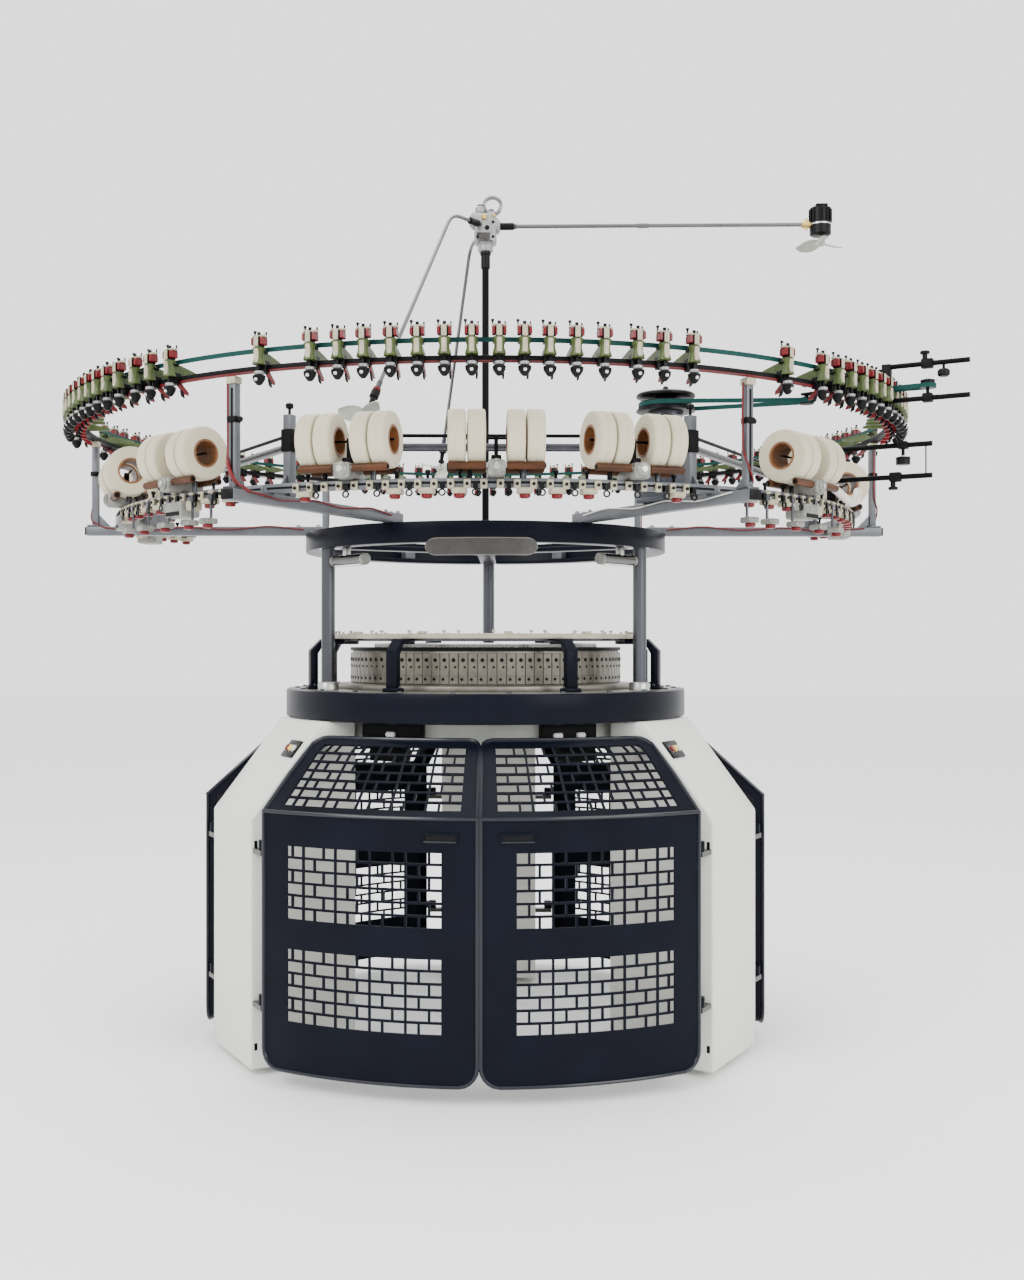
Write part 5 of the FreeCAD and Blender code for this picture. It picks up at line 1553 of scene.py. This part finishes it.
def make_camera():
    """The photo's viewpoint, in its own 1024 x 1280 picture."""
    picture_width, focal_pixels, axis_x, picture_middle = 1024, 1380, 485.5, 512
    horizon_y, picture_centre = 645, 640
    distance, height, swing = 4.74, 1.30, 1.2
    bpy.ops.object.camera_add(location=spot(distance, swing, height),
                              rotation=(math.pi / 2, 0, math.radians(swing)))
    camera = bpy.context.object
    camera.name = "photo_camera"
    camera.data.sensor_fit = "HORIZONTAL"
    camera.data.lens = camera.data.sensor_width * focal_pixels / picture_width
    camera.data.shift_x = (picture_middle - axis_x) / picture_width
    camera.data.shift_y = (horizon_y - picture_centre) / picture_width
    bpy.context.scene.camera = camera


def make_stage(sizes):
    make_floor()
    make_lights()
    make_camera()


# ---- Add-on: one operator for each group of pieces ----
def run_step(context, make):
    """Runs one group's function with the user's sizes, once the finishes are there."""
    if not finishes:
        make_finishes(context.scene.machine_colours)
    make(context.scene.machine_sizes)
    return {"FINISHED"}


class OBJECT_OT_knit_legs(Operator):
    """Model the three legs with their button panels, buttons and feet"""
    bl_idname = "object.knit_legs"
    bl_label = "Legs and Feet"
    bl_options = {"REGISTER", "UNDO"}

    def execute(self, context):
        return run_step(context, make_legs)


class OBJECT_OT_knit_head(Operator):
    """Model the bed, hub, needle cylinder, cam drum and guide ring"""
    bl_idname = "object.knit_head"
    bl_label = "Knitting Head"
    bl_options = {"REGISTER", "UNDO"}

    def execute(self, context):
        return run_step(context, make_head)


class OBJECT_OT_knit_crown(Operator):
    """Model the columns, crown and lamps"""
    bl_idname = "object.knit_crown"
    bl_label = "Crown"
    bl_options = {"REGISTER", "UNDO"}

    def execute(self, context):
        return run_step(context, make_crown)


class OBJECT_OT_knit_doors(Operator):
    """Model the six doors with their grilles"""
    bl_idname = "object.knit_doors"
    bl_label = "Doors"
    bl_options = {"REGISTER", "UNDO"}

    def execute(self, context):
        return run_step(context, make_doors)


class OBJECT_OT_knit_arms(Operator):
    """Model the arms, posts, guard rails and sensor wires"""
    bl_idname = "object.knit_arms"
    bl_label = "Arms and Rails"
    bl_options = {"REGISTER", "UNDO"}

    def execute(self, context):
        return run_step(context, make_arms)


class OBJECT_OT_knit_feeders(Operator):
    """Model the ring of yarn feeders"""
    bl_idname = "object.knit_feeders"
    bl_label = "Yarn Feeders"
    bl_options = {"REGISTER", "UNDO"}

    def execute(self, context):
        return run_step(context, make_feeders)


class OBJECT_OT_knit_belts(Operator):
    """Model the feeder belt and its drive belt"""
    bl_idname = "object.knit_belts"
    bl_label = "Belts"
    bl_options = {"REGISTER", "UNDO"}

    def execute(self, context):
        return run_step(context, make_belts)


class OBJECT_OT_knit_unwinders(Operator):
    """Model the elastane unwinders with their bobbins and sensors"""
    bl_idname = "object.knit_unwinders"
    bl_label = "Unwinders"
    bl_options = {"REGISTER", "UNDO"}

    def execute(self, context):
        return run_step(context, make_unwinders)


class OBJECT_OT_knit_drive(Operator):
    """Model the drive gearbox and pulley"""
    bl_idname = "object.knit_drive"
    bl_label = "Belt Drive"
    bl_options = {"REGISTER", "UNDO"}

    def execute(self, context):
        return run_step(context, make_drive)


class OBJECT_OT_knit_tensioners(Operator):
    """Model the belt tensioners and their rollers"""
    bl_idname = "object.knit_tensioners"
    bl_label = "Tensioners"
    bl_options = {"REGISTER", "UNDO"}

    def execute(self, context):
        return run_step(context, make_tensioners)


class OBJECT_OT_knit_blower(Operator):
    """Model the mast, the blower's head, its arms and propellers"""
    bl_idname = "object.knit_blower"
    bl_label = "Blower"
    bl_options = {"REGISTER", "UNDO"}

    def execute(self, context):
        return run_step(context, make_blower)


class OBJECT_OT_knit_stage(Operator):
    """Set up the floor, the lights and the photo's camera"""
    bl_idname = "object.knit_stage"
    bl_label = "Stage"
    bl_options = {"REGISTER", "UNDO"}

    def execute(self, context):
        return run_step(context, make_stage)


STEPS = (
    OBJECT_OT_knit_legs, OBJECT_OT_knit_head, OBJECT_OT_knit_crown, OBJECT_OT_knit_doors, OBJECT_OT_knit_arms,
    OBJECT_OT_knit_feeders, OBJECT_OT_knit_belts, OBJECT_OT_knit_unwinders, OBJECT_OT_knit_drive,
    OBJECT_OT_knit_tensioners, OBJECT_OT_knit_blower, OBJECT_OT_knit_stage,
)


class VIEW3D_PT_knitting(Panel):
    """Sidebar panel that lists the machine's groups"""
    bl_idname = "VIEW3D_PT_knitting"
    bl_label = "Knitting Machine"
    bl_space_type = "VIEW_3D"
    bl_region_type = "UI"
    bl_category = "Knitting"

    def draw(self, context):
        layout = self.layout
        for group in (context.scene.machine_sizes, context.scene.machine_colours):
            for name in type(group).__annotations__:
                layout.prop(group, name)
        for step in STEPS:
            layout.operator(step.bl_idname)


CLASSES = (MachineSizes, MachineColours) + STEPS + (VIEW3D_PT_knitting,)


def register():
    for one_class in CLASSES:
        bpy.utils.register_class(one_class)
    bpy.types.Scene.machine_sizes = PointerProperty(type=MachineSizes)
    bpy.types.Scene.machine_colours = PointerProperty(type=MachineColours)


def unregister():
    del bpy.types.Scene.machine_colours
    del bpy.types.Scene.machine_sizes
    for one_class in reversed(CLASSES):
        bpy.utils.unregister_class(one_class)


def main():
    register()
    bpy.ops.object.knit_legs()
    bpy.ops.object.knit_head()
    bpy.ops.object.knit_crown()
    bpy.ops.object.knit_doors()
    bpy.ops.object.knit_arms()
    bpy.ops.object.knit_feeders()
    bpy.ops.object.knit_belts()
    bpy.ops.object.knit_unwinders()
    bpy.ops.object.knit_drive()
    bpy.ops.object.knit_tensioners()
    bpy.ops.object.knit_blower()
    bpy.ops.object.knit_stage()


if __name__ == "__main__":
    main()
